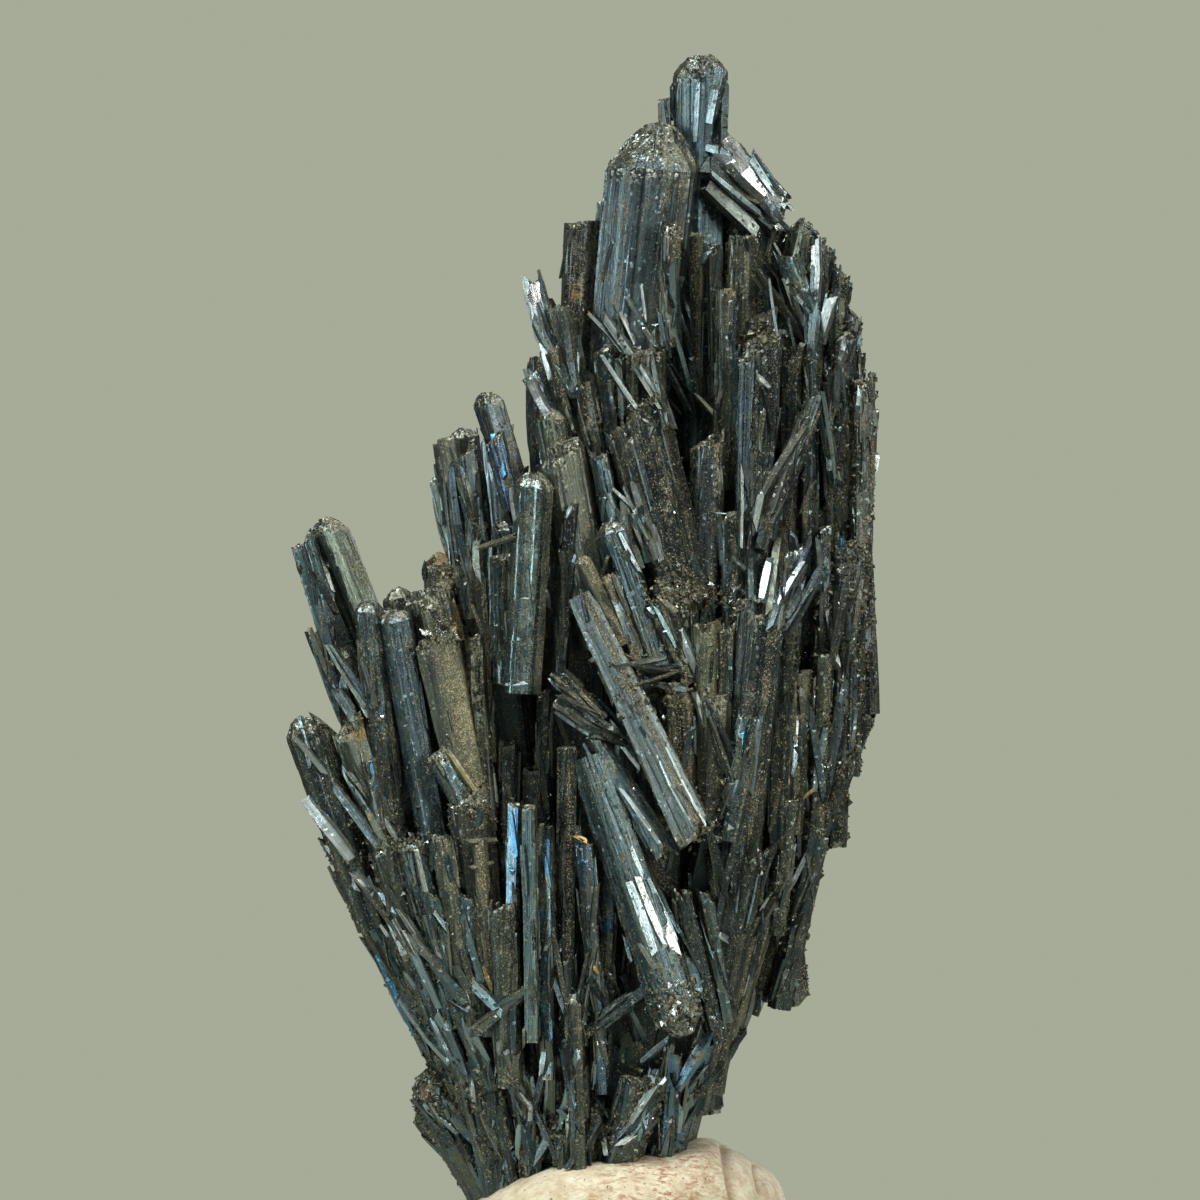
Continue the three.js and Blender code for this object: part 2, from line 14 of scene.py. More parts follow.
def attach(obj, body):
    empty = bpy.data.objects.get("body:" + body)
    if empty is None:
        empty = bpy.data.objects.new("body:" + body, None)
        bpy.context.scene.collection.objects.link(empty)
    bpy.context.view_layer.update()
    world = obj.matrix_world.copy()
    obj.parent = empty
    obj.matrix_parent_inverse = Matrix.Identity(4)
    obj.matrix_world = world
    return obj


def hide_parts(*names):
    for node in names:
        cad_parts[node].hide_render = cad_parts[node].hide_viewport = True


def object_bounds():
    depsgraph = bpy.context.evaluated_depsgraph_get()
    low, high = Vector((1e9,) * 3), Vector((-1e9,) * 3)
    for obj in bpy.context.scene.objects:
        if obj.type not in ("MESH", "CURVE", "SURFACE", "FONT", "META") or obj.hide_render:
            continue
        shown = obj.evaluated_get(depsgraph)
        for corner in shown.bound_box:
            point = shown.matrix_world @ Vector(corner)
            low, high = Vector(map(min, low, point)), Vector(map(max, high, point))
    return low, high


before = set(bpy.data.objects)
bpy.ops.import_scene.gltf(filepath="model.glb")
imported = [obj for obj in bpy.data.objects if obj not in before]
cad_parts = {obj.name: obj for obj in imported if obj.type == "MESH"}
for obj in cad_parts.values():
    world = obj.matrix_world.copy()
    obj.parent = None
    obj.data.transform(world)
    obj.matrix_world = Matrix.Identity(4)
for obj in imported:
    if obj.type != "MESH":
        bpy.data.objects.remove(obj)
CAD_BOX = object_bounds()

MM = 0.001
BOX_LOW, BOX_HIGH = (np.array(corner) / MM for corner in CAD_BOX)
SEED = 11
SEED_STEP = 1000

# Looks of the crystals: colour of the clean metal, share of dust, share of tarnish colours, roughness
BLUE = {"metal": (0.110, 0.174, 0.196), "dust": 0.28, "tarnish": 0.15, "rough": 0.3}
NAVY = {"metal": (0.172, 0.262, 0.290), "dust": 0.34, "tarnish": 0.12, "rough": 0.3}
INK = {"metal": (0.068, 0.110, 0.128), "dust": 0.3, "tarnish": 0.12, "rough": 0.3}
DARK = {"metal": (0.064, 0.088, 0.094), "dust": 0.3, "tarnish": 0.1, "rough": 0.32}
STEEL = {"metal": (0.160, 0.208, 0.218), "dust": 0.36, "tarnish": 0.1, "rough": 0.32}
# A darker copy of the metal for the crystals along the right-hand edge: painted shade
SHADED_EDGE = {"metal": (0.045, 0.060, 0.062), "dust": 0.1, "tarnish": 0.1, "rough": 0.34}
GREY = {"metal": (0.15, 0.178, 0.172), "dust": 0.38, "tarnish": 0.1, "rough": 0.32}
OLIVE = {"metal": (0.098, 0.120, 0.106), "dust": 0.44, "tarnish": 0.1, "rough": 0.36}
TAN = {"metal": (0.15, 0.172, 0.150), "dust": 0.88, "tarnish": 0.05, "rough": 0.38}
# A lighter copy of the metal, put where highlights show: a painted highlight
BRIGHT_HIGHLIGHT = {"metal": (0.66, 0.72, 0.74), "dust": 0.1, "tarnish": 0.05, "rough": 0.28}
# A paler metal, in places put where a sheen shows: partly a painted sheen
PALE_AND_SHEEN = {"metal": (0.25, 0.34, 0.37), "dust": 0.18, "tarnish": 0.15, "rough": 0.29}
IRIS = {"metal": (0.1, 0.18, 0.26), "dust": 0.2, "tarnish": 0.6, "rough": 0.28}
# A lighter copy of the metal, put where white highlights show: a painted highlight
WHITE_HIGHLIGHT = {"metal": (0.44, 0.50, 0.52), "dust": 0.12, "tarnish": 0.0, "rough": 0.33}
LILAC = {"metal": (0.33, 0.40, 0.50), "dust": 0.1, "tarnish": 0.25, "rough": 0.3}
VIVID = {"metal": (0.1, 0.3, 0.48), "dust": 0.12, "tarnish": 0.3, "rough": 0.3}
GOLD = {"metal": (0.26, 0.18, 0.07), "dust": 0.4, "tarnish": 0.0, "rough": 0.4}
YELLOW = {"metal": (0.24, 0.23, 0.14), "dust": 0.6, "tarnish": 0.0, "rough": 0.42}

# Colours of the stains, and the ways that a laid blade's broad side can face
OCHRE = (0.36, 0.24, 0.07)
CREAM = (0.42, 0.39, 0.25)
RUST = (0.30, 0.12, 0.05)
LEFTWARD = (-0.49, -0.87, 0.08)
RIGHTWARD = (0.38, -0.91, 0.18)
UPWARD = (-0.08, -0.82, 0.57)

# Sections of the crystals, as shares of their width and thickness
ROOT_TAPER = 0.82
LATH_WIDTH = 1.25
PRISM_SECTION = [[0.5, 0.08], [0.25, 0.5], [-0.3, 0.46], [-0.5, -0.08], [-0.27, -0.5], [0.29, -0.47]]
LATH_SECTION = [[0.5, 0.2], [-0.24, 0.5], [-0.5, -0.2], [0.24, -0.5]]

# Ends: how far back the shoulder lies, as a share of the width, how steeply the end curves, and the rise
# of a slant
FLAT = {"back": 0.0, "curve": 1.0, "rise": 0.14}
RIGHT = {"back": 0.0, "curve": 1.0, "rise": 0.5}
LEFT = {"back": 0.0, "curve": 1.0, "rise": -0.5}
DOME = {"back": 0.36, "curve": 2.3, "rise": 0.0}
PEAK = {"back": 0.7, "curve": 1.2, "rise": 0.0}

# Crystals in millimetres: tip, root, width, thickness, turn in degrees, end, and the root's taper where
# it isn't usual
SUMMIT = [
    [[6.4, 1.2, 86.8], [6.0, 1.0, 58], 4.1, 4.4, 25, DOME, BLUE],
    [[3.8, 1.6, 83.6], [4.2, 1.2, 70], 1.1, 1.6, 10, FLAT, GREY],
    [[3.4, -0.8, 81.8], [-0.4, 0.8, 45], 7.4, 6.2, 12, DOME, NAVY],
    [[-0.3, -0.5, 76.3], [-1.3, 0.5, 60], 1.0, 1.6, 0, FLAT, DARK],
    [[-1.9, 0.2, 75.0], [-2.8, 0.8, 58], 2.7, 3.2, -15, FLAT, GREY],
    [[4.3, -4.4, 74.5], [4.0, -3.4, 66], 1.7, 1.5, 20, FLAT, OLIVE],
    [[6.0, -3.6, 74.0], [6.2, -0.4, 62], 1.1, 1.2, 0, FLAT, OLIVE],
    [[7.3, -3.4, 73.2], [7.4, -0.8, 62], 1.2, 1.2, 30, RIGHT, GREY],
    [[9.3, -3.0, 73.9], [8.8, -2.0, 58], 2.5, 2.4, -10, FLAT, GREY],
    [[8.1, -4.6, 70.2], [8.0, -3.4, 56], 1.7, 1.7, 15, FLAT, OLIVE],
    [[10.4, -3.0, 68.9], [10.2, -2.2, 58], 2.7, 2.2, 0, RIGHT, GREY],
    [[10.5, -5.6, 67.3], [9.9, -4.8, 53], 3.5, 3.2, 18, RIGHT, DARK],
    [[10.3, -4.9, 57.9], [9.4, -4.6, 44], 3.4, 3.0, 18, FLAT, DARK],
    [[12.8, -2.4, 66.2], [12.2, -2.0, 48], 1.9, 2.2, -10, FLAT, DARK],
]
UPPER_RIGHT = [
    [[12.5, -1.7, 75.1], [7.7, -0.7, 80.1], 2.4, 1.3, 20, RIGHT, 0.95, BRIGHT_HIGHLIGHT],
    [[9.3, 0.6, 77.6], [8.2, 0.6, 56], 2.6, 3.2, 10, LEFT, DARK],
    [[11.2, 0.8, 75.4], [9.6, 0.6, 56], 2.4, 3.0, -10, LEFT, DARK],
    [[13.6, 0.2, 74.9], [10.8, 0.6, 56], 2.3, 3.0, 10, DOME, OLIVE],
    [[15.2, 0.4, 73.4], [12.4, 0.4, 54], 1.5, 2.4, 0, LEFT, GREY],
    [[16.3, 0.6, 71.8], [13.4, 0.6, 52], 1.9, 2.8, 0, LEFT, DARK],
    [[16.9, 1.0, 68.4], [14.8, 0.8, 48], 1.7, 3.0, 10, DOME, SHADED_EDGE],
    [[12.0, -1.6, 72.9], [14.3, -1.8, 67.0], 2.0, 1.4, -20, LEFT, BLUE],
    [[14.6, -1.6, 73.6], [14.0, -1.2, 64], 1.0, 1.0, 0, RIGHT, BRIGHT_HIGHLIGHT],
    [[15.5, -2.4, 69.3], [14.8, -2.2, 66.2], 1.0, 0.9, 10, FLAT, BRIGHT_HIGHLIGHT],
    [[16.1, -1.6, 67.2], [15.4, -1.4, 60], 1.4, 1.8, 20, RIGHT, GREY],
    [[17.2, 1.4, 66.0], [15.8, 1.2, 50], 1.7, 2.4, 0, DOME, SHADED_EDGE],
    [[17.6, -0.8, 64.2], [17.5, -0.8, 52.3], 2.1, 2.6, 10, FLAT, 0.9, GREY],
    [[15.8, -1.8, 64.6], [15.7, -1.6, 48], 1.8, 2.4, -10, FLAT, DARK],
    [[18.1, 1.8, 62.6], [16.8, 1.6, 42], 1.8, 3.2, 0, LEFT, SHADED_EDGE],
    [[14.1, -2.4, 65.8], [13.7, -2.2, 50], 1.4, 1.8, 0, FLAT, BLUE],
    [[14.5, -4.2, 62.9], [10.9, -5.8, 52.6], 1.4, 1.6, 0, RIGHT, PALE_AND_SHEEN],
    [[13.5, -4.8, 61.2], [10.4, -6.2, 51.8], 1.2, 1.6, 20, FLAT, GREY],
]
MIDDLE_LEFT = [
    [[-5.5, -1.6, 70.6], [-2.0, -0.8, 58], 1.7, 1.4, 15, FLAT, BRIGHT_HIGHLIGHT],
    [[-5.7, -2.4, 64.1], [-3.6, -2.4, 60.5], 1.4, 1.3, 20, FLAT, PALE_AND_SHEEN],
    [[-3.6, -2.2, 69.0], [-0.9, -2.2, 58], 1.7, 2.0, -15, FLAT, GREY],
    [[-4.2, -3.0, 66.2], [-2.0, -3.0, 57], 1.4, 1.6, 0, RIGHT, OLIVE],
    [[-4.3, -3.4, 61.9], [-2.6, -3.2, 52], 2.7, 2.6, 10, DOME, OLIVE],
    [[-0.4, -4.4, 66.4], [0.0, -3.6, 59], 1.5, 2.0, 0, RIGHT, BLUE],
    [[0.6, -4.6, 65.3], [0.8, -3.8, 59], 0.9, 1.6, 0, FLAT, GREY],
    [[2.4, -4.4, 66.2], [2.2, -3.4, 57], 3.4, 2.8, 8, FLAT, OLIVE],
    [[1.4, -6.0, 62.5], [5.3, -6.2, 48], 5.0, 3.8, -8, RIGHT, DARK],
    [[1.7, -7.4, 55.0], [2.7, -6.8, 51], 1.4, 1.6, 0, FLAT, BLUE],
    [[6.9, -5.4, 60.5], [6.4, -5.2, 45], 2.8, 2.6, 10, RIGHT, DARK],
    [[8.4, -6.2, 54.6], [8.6, -6.0, 46.5], 1.9, 2.0, -10, FLAT, DARK],
    [[-1.8, -4.6, 63.6], [-0.3, -4.6, 55], 1.4, 1.8, 0, FLAT, DARK],
    [[-0.8, -6.2, 58.5], [0.9, -6.0, 50], 1.5, 1.8, 10, FLAT, BLUE],
    [[-3.7, -5.6, 59.5], [-0.9, -5.2, 45], 4.1, 3.6, 14, FLAT, OLIVE],
    [[-5.2, -7.2, 57.4], [-6.1, -7.0, 41.8], 2.9, 2.8, -12, DOME, 0.9, NAVY],
    [[-7.5, -6.0, 51.6], [-7.4, -5.6, 42.5], 2.0, 2.2, 10, FLAT, BLUE],
    [[-2.7, -6.8, 55.3], [-3.5, -6.4, 42], 1.3, 1.8, 0, RIGHT, DARK],
    [[-0.2, -7.4, 53.9], [3.4, -7.0, 43.4], 2.7, 2.6, 10, DOME, BLUE],
    [[3.0, -7.8, 48.5], [5.5, -7.4, 42.5], 1.5, 1.6, 0, FLAT, TAN],
    [[-0.4, -8.4, 50.2], [2.1, -7.8, 43.4], 1.6, 1.8, 10, DOME, TAN],
    [[4.3, -7.2, 50.3], [4.9, -6.6, 43], 3.2, 2.8, 0, DOME, OLIVE],
]
LEFT_SIDE = [
    [[-11.5, -2.6, 59.8], [-9.7, -2.6, 47], 2.0, 2.4, 0, FLAT, GREY],
    [[-10.3, -3.4, 59.5], [-8.7, -3.4, 48], 1.9, 2.2, 20, RIGHT, DARK],
    [[-10.4, -0.8, 60.5], [-8.0, -0.6, 44], 2.4, 2.8, -10, DOME, OLIVE],
    [[-12.2, -1.2, 57.0], [-10.2, -1.2, 48], 1.1, 1.8, 0, DOME, GREY],
    [[-8.8, -1.8, 63.0], [-5.0, -2.0, 51], 2.5, 2.6, 18, DOME, DARK],
    [[-8.2, -3.3, 60.1], [-6.7, -3.4, 54.5], 1.7, 1.6, 10, RIGHT, IRIS],
    [[-7.6, -4.6, 53.9], [-7.2, -4.4, 45], 1.6, 1.8, 10, DOME, BLUE],
    [[-21.7, -3.0, 53.1], [-18.7, -2.8, 43.4], 1.9, 1.9, -25, RIGHT, 0.95, BLUE],
    [[-20.1, -1.6, 54.1], [-13.6, -1.2, 38], 3.4, 2.8, 20, DOME, OLIVE],
    [[-19.2, -2.8, 45.0], [-15.4, -2.4, 31], 2.4, 2.4, 10, FLAT, DARK],
    [[-16.8, -5.0, 48.5], [-15.0, -4.4, 30], 2.3, 2.6, -15, DOME, BLUE],
    [[-15.2, -5.2, 47.9], [-12.0, -4.4, 30], 2.7, 2.8, 12, DOME, BLUE],
    [[-12.8, -3.6, 49.5], [-9.4, -3.2, 32], 3.8, 3.4, 8, FLAT, OLIVE],
    [[-12.2, -2.0, 51.7], [-10.9, -1.8, 42], 2.5, 2.4, 15, DOME, TAN],
    [[-15.0, -2.2, 49.3], [-13.2, -2.0, 38], 2.3, 2.2, 0, DOME, OLIVE],
    [[-12.2, -6.0, 46.0], [-9.1, -5.0, 32], 3.4, 3.0, 14, FLAT, TAN],
    [[-9.5, -5.4, 46.2], [-8.5, -5.0, 34], 1.4, 2.0, 0, RIGHT, OLIVE],
    [[-9.1, -4.0, 50.4], [-8.2, -3.8, 37], 1.3, 2.0, 0, LEFT, OLIVE],
    [[-20.7, -1.4, 46.1], [-17.2, -1.2, 36.5], 1.0, 1.4, 0, FLAT, TAN],
    [[-21.5, -5.0, 40.4], [-16.3, -4.2, 25.5], 3.3, 3.0, -15, DOME, DARK],
    [[-18.5, -5.2, 40.4], [-14.2, -4.6, 26], 2.7, 2.6, 15, RIGHT, OLIVE],
    [[-16.7, -6.0, 37.4], [-15.4, -5.4, 28], 1.3, 1.6, 0, FLAT, GREY],
    [[-17.8, -6.0, 30.1], [-20.9, -5.2, 34.4], 1.2, 1.1, 25, FLAT, 0.95, BRIGHT_HIGHLIGHT],
    [[-19.7, -4.2, 32.1], [-13.8, -3.6, 21], 1.7, 1.8, 10, LEFT, BLUE],
    [[-18.6, -2.4, 29.8], [-11.6, -2.0, 15.5], 2.2, 2.8, 0, LEFT, DARK],
    [[-17.2, -4.0, 28.8], [-12.8, -3.6, 19], 1.6, 1.7, 20, FLAT, BLUE],
    [[-16.1, -1.8, 25.4], [-9.8, -1.6, 12.5], 1.8, 2.6, 10, FLAT, GREY],
]
LOWER_FRONT = [
    [[-15.9, -6.4, 31.6], [-12.2, -5.4, 19], 2.2, 2.2, -10, DOME, DARK],
    [[-14.0, -6.6, 31.9], [-10.8, -5.8, 18.5], 2.3, 2.2, 15, DOME, BLUE],
    [[-11.9, -7.8, 32.4], [-9.3, -6.8, 18], 1.7, 1.7, 10, LEFT, OLIVE],
    [[-12.1, -7.2, 38.0], [-9.7, -6.4, 33], 2.0, 2.0, 15, FLAT, BLUE],
    [[-9.8, -6.6, 35.3], [-8.5, -5.8, 21], 3.4, 2.8, 0, DOME, OLIVE],
    [[-12.9, -7.3, 29.0], [-10.6, -6.4, 20], 2.3, 1.8, 0, LEFT, BLUE],
    [[-10.1, -7.7, 28.2], [-8.4, -7.0, 18], 1.4, 1.4, 10, LEFT, BLUE],
    [[-9.2, -8.2, 31.8], [-8.4, -7.2, 20], 1.4, 1.4, 0, RIGHT, TAN],
    [[-7.4, -8.5, 27.8], [-7.0, -7.6, 14.5], 2.3, 1.8, 8, RIGHT, OLIVE],
    [[-6.6, -8.6, 34.4], [-6.9, -8.0, 24], 1.0, 1.4, 0, FLAT, IRIS],
    [[-5.6, -9.4, 34.2], [-5.4, -8.8, 17.6], 1.2, 1.4, 10, FLAT, 0.95, BLUE],
    [[-4.5, -8.8, 32.4], [-4.2, -8.2, 15], 1.2, 1.5, 0, FLAT, IRIS],
    [[-2.9, -7.8, 38.3], [-3.1, -7.4, 19], 1.7, 1.8, 10, FLAT, DARK],
    [[-2.6, -9.6, 21.4], [-2.1, -8.4, 8], 1.5, 1.6, 10, PEAK, OLIVE],
    [[-1.8, -9.0, 32.0], [-0.6, -8.2, 14], 1.3, 1.5, 10, LEFT, IRIS],
    [[0.1, -8.0, 30.4], [-0.3, -7.4, 16], 1.0, 1.4, 0, FLAT, IRIS],
    [[-9.4, -8.6, 18.4], [-5.4, -8.6, 21.6], 0.9, 1.0, 0, FLAT, 0.95, GREY],
    [[2.8, -9.2, 21.4], [-1.8, -8.8, 18.1], 1.0, 1.0, 0, FLAT, 0.95, BLUE],
    [[-7.1, -4.0, 38.7], [-7.0, -3.8, 24], 1.7, 2.0, 0, FLAT, DARK],
    [[-5.4, -4.6, 36.8], [-5.4, -4.2, 24], 1.5, 1.8, 10, FLAT, DARK],
    [[-4.5, -4.4, 42.4], [-4.6, -4.2, 26], 1.3, 1.6, 0, RIGHT, DARK],
]
ACROSS_FRONT = [
    [[6.2, -10.4, 31.4], [-2.1, -8.8, 48.6], 3.4, 3.0, 25, FLAT, 0.62, STEEL],
    [[-2.1, -9.2, 51.4], [0.9, -8.6, 45.2], 1.3, 1.4, 0, DOME, TAN],
    [[5.2, -9.6, 17.9], [-1.4, -8.0, 37.4], 3.8, 3.4, -20, DOME, 0.8, INK],
    [[4.0, -9.6, 30.3], [-1.7, -8.2, 40], 1.8, 1.8, 15, FLAT, 0.6, BLUE],
    [[-3.7, -9.0, 43.2], [-0.4, -9.0, 40], 1.3, 1.4, 0, LEFT, OLIVE],
    [[-3.9, -9.0, 41.4], [0.2, -9.2, 38.8], 1.2, 1.3, 30, FLAT, DARK],
]
LOWER_RIGHT = [
    [[12.6, -4.0, 52.4], [12.2, -4.2, 43], 2.3, 2.6, 10, RIGHT, PALE_AND_SHEEN],
    [[14.9, -2.8, 53.6], [14.8, -2.4, 41], 1.5, 1.8, 10, FLAT, DARK],
    [[16.6, -2.2, 52.7], [16.2, -2.0, 36], 3.4, 3.2, 12, FLAT, DARK],
    [[17.4, 0.2, 51.9], [18.0, 0.2, 40.3], 2.0, 3.4, 0, FLAT, 0.95, SHADED_EDGE],
    [[6.6, -7.6, 46.9], [6.7, -7.0, 38], 2.2, 2.2, 0, FLAT, TAN],
    [[8.1, -7.2, 46.8], [7.9, -6.6, 36], 1.7, 2.2, 0, FLAT, OLIVE],
    [[7.2, -8.0, 41.9], [6.9, -7.2, 32], 2.5, 2.4, 12, FLAT, OLIVE],
    [[4.6, -8.0, 42.7], [5.0, -7.4, 34], 2.9, 2.6, 0, DOME, OLIVE],
    [[10.7, -7.4, 48.8], [8.8, -6.6, 28], 3.8, 3.6, 14, FLAT, DARK],
    [[12.1, -6.2, 46.4], [11.7, -5.8, 31], 2.0, 2.6, -10, FLAT, DARK],
    [[10.2, -8.4, 41.5], [8.0, -8.0, 31.6], 2.3, 1.8, 12, RIGHT, BLUE],
    [[13.4, -5.0, 43.5], [12.9, -4.6, 32], 1.3, 1.8, 0, FLAT, TAN],
    [[14.8, -3.4, 44.7], [14.2, -3.2, 30], 1.8, 2.2, 10, FLAT, OLIVE],
    [[17.5, -0.2, 40.9], [9.4, -0.4, 19.5], 2.8, 4.0, 10, FLAT, SHADED_EDGE],
    [[16.3, -2.6, 38.4], [10.0, -2.2, 20.5], 2.6, 2.8, -12, RIGHT, DARK],
    [[15.8, -0.6, 30.8], [16.1, -0.6, 37], 1.6, 2.4, 0, FLAT, DARK],
    [[14.5, -3.8, 32.9], [11.8, -3.2, 19.8], 2.2, 2.4, 10, LEFT, DARK],
    [[12.3, -5.6, 34.7], [11.5, -5.0, 25], 1.9, 2.2, 20, FLAT, GREY],
    [[9.8, -7.0, 31.5], [6.0, -5.2, 13], 3.1, 3.0, -10, DOME, DARK],
    [[11.3, -5.0, 28.2], [8.2, -4.2, 17.5], 1.9, 2.2, 0, RIGHT, GREY],
    [[12.7, -2.0, 19.7], [12.1, -1.6, 27.5], 2.9, 3.2, 15, DOME, DARK],
    [[10.4, -5.4, 26.6], [7.2, -4.2, 14], 1.4, 1.8, 10, FLAT, TAN],
    [[8.7, -6.0, 26.9], [7.0, -5.0, 14], 2.6, 2.6, 10, FLAT, OLIVE],
    [[6.6, -8.0, 28.4], [8.2, -6.8, 19], 1.5, 1.6, 0, LEFT, BLUE],
    [[4.6, -8.0, 28.8], [7.5, -7.2, 17.5], 2.0, 2.0, 10, LEFT, DARK],
]
FOOT = [
    [[-14.4, -6.2, 25.4], [-9.2, -4.8, 12], 1.5, 1.5, 10, LEFT, PALE_AND_SHEEN],
    [[-10.8, -6.8, 20.5], [-7.4, -5.6, 12.5], 1.5, 1.5, 0, LEFT, BLUE],
    [[-13.6, -4.8, 22.4], [-9.0, -4.0, 11], 2.2, 2.2, -10, FLAT, DARK],
    [[-15.6, -3.2, 23.8], [-9.8, -2.8, 12], 1.5, 1.8, 0, FLAT, IRIS],
    [[-15.9, -5.6, 28.6], [-11.2, -4.6, 16], 1.4, 1.5, 20, LEFT, PALE_AND_SHEEN],
    [[-12.9, -2.4, 15.9], [-7.4, -1.4, 5.2], 4.6, 4.8, 20, DOME, OLIVE],
    [[-13.4, -0.8, 13.0], [-7.4, -0.4, 6.0], 2.2, 3.0, 0, DOME, OLIVE],
    [[-9.4, -5.2, 15.9], [-7.8, -3.8, 5.4], 2.1, 2.2, 0, DOME, DARK],
    [[-8.0, -6.0, 14.6], [-6.6, -4.4, 5], 1.6, 1.7, 10, LEFT, DARK],
    [[-6.0, -6.8, 15.4], [-5.2, -5.0, 5], 1.9, 2.0, 0, RIGHT, OLIVE],
    [[-3.9, -7.2, 15.6], [-3.2, -5.4, 5], 1.4, 1.5, 0, LEFT, OLIVE],
    [[-3.2, -7.8, 11.6], [-2.6, -6.0, 5], 1.9, 1.8, 10, FLAT, DARK],
    [[2.6, -8.4, 15.7], [-0.8, -5.6, 5], 3.7, 3.6, 10, FLAT, DARK],
    [[-0.9, -7.4, 13.8], [-1.2, -5.6, 5], 1.6, 1.6, 0, PEAK, DARK],
    [[4.4, -7.8, 17.3], [3.4, -5.6, 5], 1.6, 1.6, 10, LEFT, IRIS],
    [[6.9, -6.8, 18.5], [3.6, -4.8, 6.5], 1.7, 1.6, 0, RIGHT, IRIS],
    [[6.9, -3.0, 12.2], [7.0, -3.2, 19], 2.1, 2.4, 10, FLAT, DARK],
    [[7.6, -4.2, 19.0], [2.6, -3.2, 7], 2.4, 2.6, 0, FLAT, DARK],
]
HEART = [
    [[2.0, 0.8, 69], [0, 0.4, 4.6], 6.6, 7, 0, FLAT, DARK],
    [[10.4, 1.0, 66], [1.2, 0.4, 4.8], 7.6, 7.6, 0, FLAT, DARK],
    [[14.6, 1.4, 56], [2.6, 0.4, 5.4], 5.4, 7, 0, FLAT, DARK],
    [[-2.4, 0.4, 56], [-2, 0, 4.8], 6.4, 7.4, 0, FLAT, DARK],
    [[-8.2, 0.2, 48], [-3.8, 0, 5], 4.8, 6.6, 0, FLAT, DARK],
    [[-13.4, 0.4, 42], [-5.4, 0, 5.4], 4.6, 6, 0, FLAT, DARK],
    [[-16.6, 0, 34], [-6.8, 0, 6], 3.8, 5.6, 0, FLAT, DARK],
    [[11.8, -0.6, 44], [2, -0.4, 5.4], 6.4, 7.4, 0, FLAT, DARK],
    [[5.2, -3.8, 49], [0.4, -1.8, 5], 6.4, 6, 0, FLAT, DARK],
    [[-4.8, -4.4, 31], [-2.8, -2.2, 5], 6.2, 6.0, 0, FLAT, DARK],
    [[-10.6, -3.2, 31], [-5.2, -1.6, 5.4], 4.8, 5.6, 0, FLAT, DARK],
    [[8.6, -3.8, 35], [1.8, -1.8, 5.4], 5.6, 5.4, 0, FLAT, DARK],
]
BACK_TIPS = [
    [[-19.2, 2.2, 48.5], 2.6], [[-16.8, 4.6, 41.0], 3.2],
    [[-19.8, 1.6, 37.4], 2.8], [[-14.4, 5.4, 46.6], 3.0],
    [[-12.0, 3.0, 50.0], 2.4], [[-10.6, 4.6, 57.2], 3.0],
    [[-8.0, 3.2, 60.4], 2.6], [[-7.2, 7.2, 52.0], 3.4],
    [[-4.8, 3.0, 65.6], 2.4], [[-3.6, 6.4, 60.4], 3.6], [[-1.8, 3.8, 72.0], 2.6], [[0.8, 6.6, 69.6], 3.6],
    [[2.6, 3.6, 78.4], 3.4], [[5.4, 4.8, 80.4], 3.6], [[7.8, 4.2, 75.0], 3.0], [[6.8, 8.4, 68.4], 4.0],
    [[10.4, 4.6, 73.6], 3.4], [[12.8, 5.0, 71.4], 2.8], [[11.2, 8.6, 62.6], 4.2], [[15.2, 4.4, 68.6], 2.8],
    [[16.6, 5.2, 62.0], 3.0], [[14.8, 8.4, 55.0], 3.8], [[17.2, 4.4, 53.6], 2.8], [[17.0, 4.8, 45.6], 3.0],
    [[15.4, 7.6, 43.4], 3.4], [[16.2, 3.2, 38.6], 2.6], [[13.6, 5.2, 32.4], 3.0], [[-15.6, 4.0, 31.0], 3.0],
    [[-11.4, 8.0, 40.4], 3.6], [[-6.6, 10.0, 44.2], 3.8],
    [[-1.4, 10.2, 52.0], 4.0], [[4.4, 10.8, 58.2], 4.2],
    [[9.6, 11.2, 49.6], 4.4], [[2.0, 11.8, 43.0], 4.4], [[12.2, 9.2, 38.2], 3.8], [[-12.2, 6.4, 27.0], 3.2],
    [[-4.4, 11.0, 33.2], 4.0], [[6.8, 11.0, 35.6], 4.2], [[0.8, 10.0, 25.8], 4.0], [[-8.2, 8.2, 22.2], 3.6],
    [[7.6, 8.0, 23.6], 3.2], [[-3.0, 7.8, 16.4], 3.4], [[3.4, 6.6, 16.6], 3.0],
]

BACK_ROOT = {"x": -1.5, "spread": 0.22, "depth": 0.32, "z": 4.8, "lift": 0.1}
BACK_THICKNESS = 0.9
BACK_TURNS = [14, -22, 38, -8, 27]
BACK_ENDS = [FLAT, LEFT, DOME, RIGHT]
BACK_LOOKS = [BLUE, DARK, GREY, DARK, OLIVE, BLUE, PALE_AND_SHEEN]


def back_crystal(index, tip, wide):
    x, y, z = tip
    root = [
        BACK_ROOT["x"] + BACK_ROOT["spread"] * x,
        BACK_ROOT["depth"] * y,
        BACK_ROOT["z"] + BACK_ROOT["lift"] * z,
    ]
    turn = BACK_TURNS[index % len(BACK_TURNS)]
    end = BACK_ENDS[index % len(BACK_ENDS)]
    look = BACK_LOOKS[index % len(BACK_LOOKS)]
    return [tip, root, wide, BACK_THICKNESS * wide, turn, end, look]


BACK = [back_crystal(index, tip, wide) for index, (tip, wide) in enumerate(BACK_TIPS)]
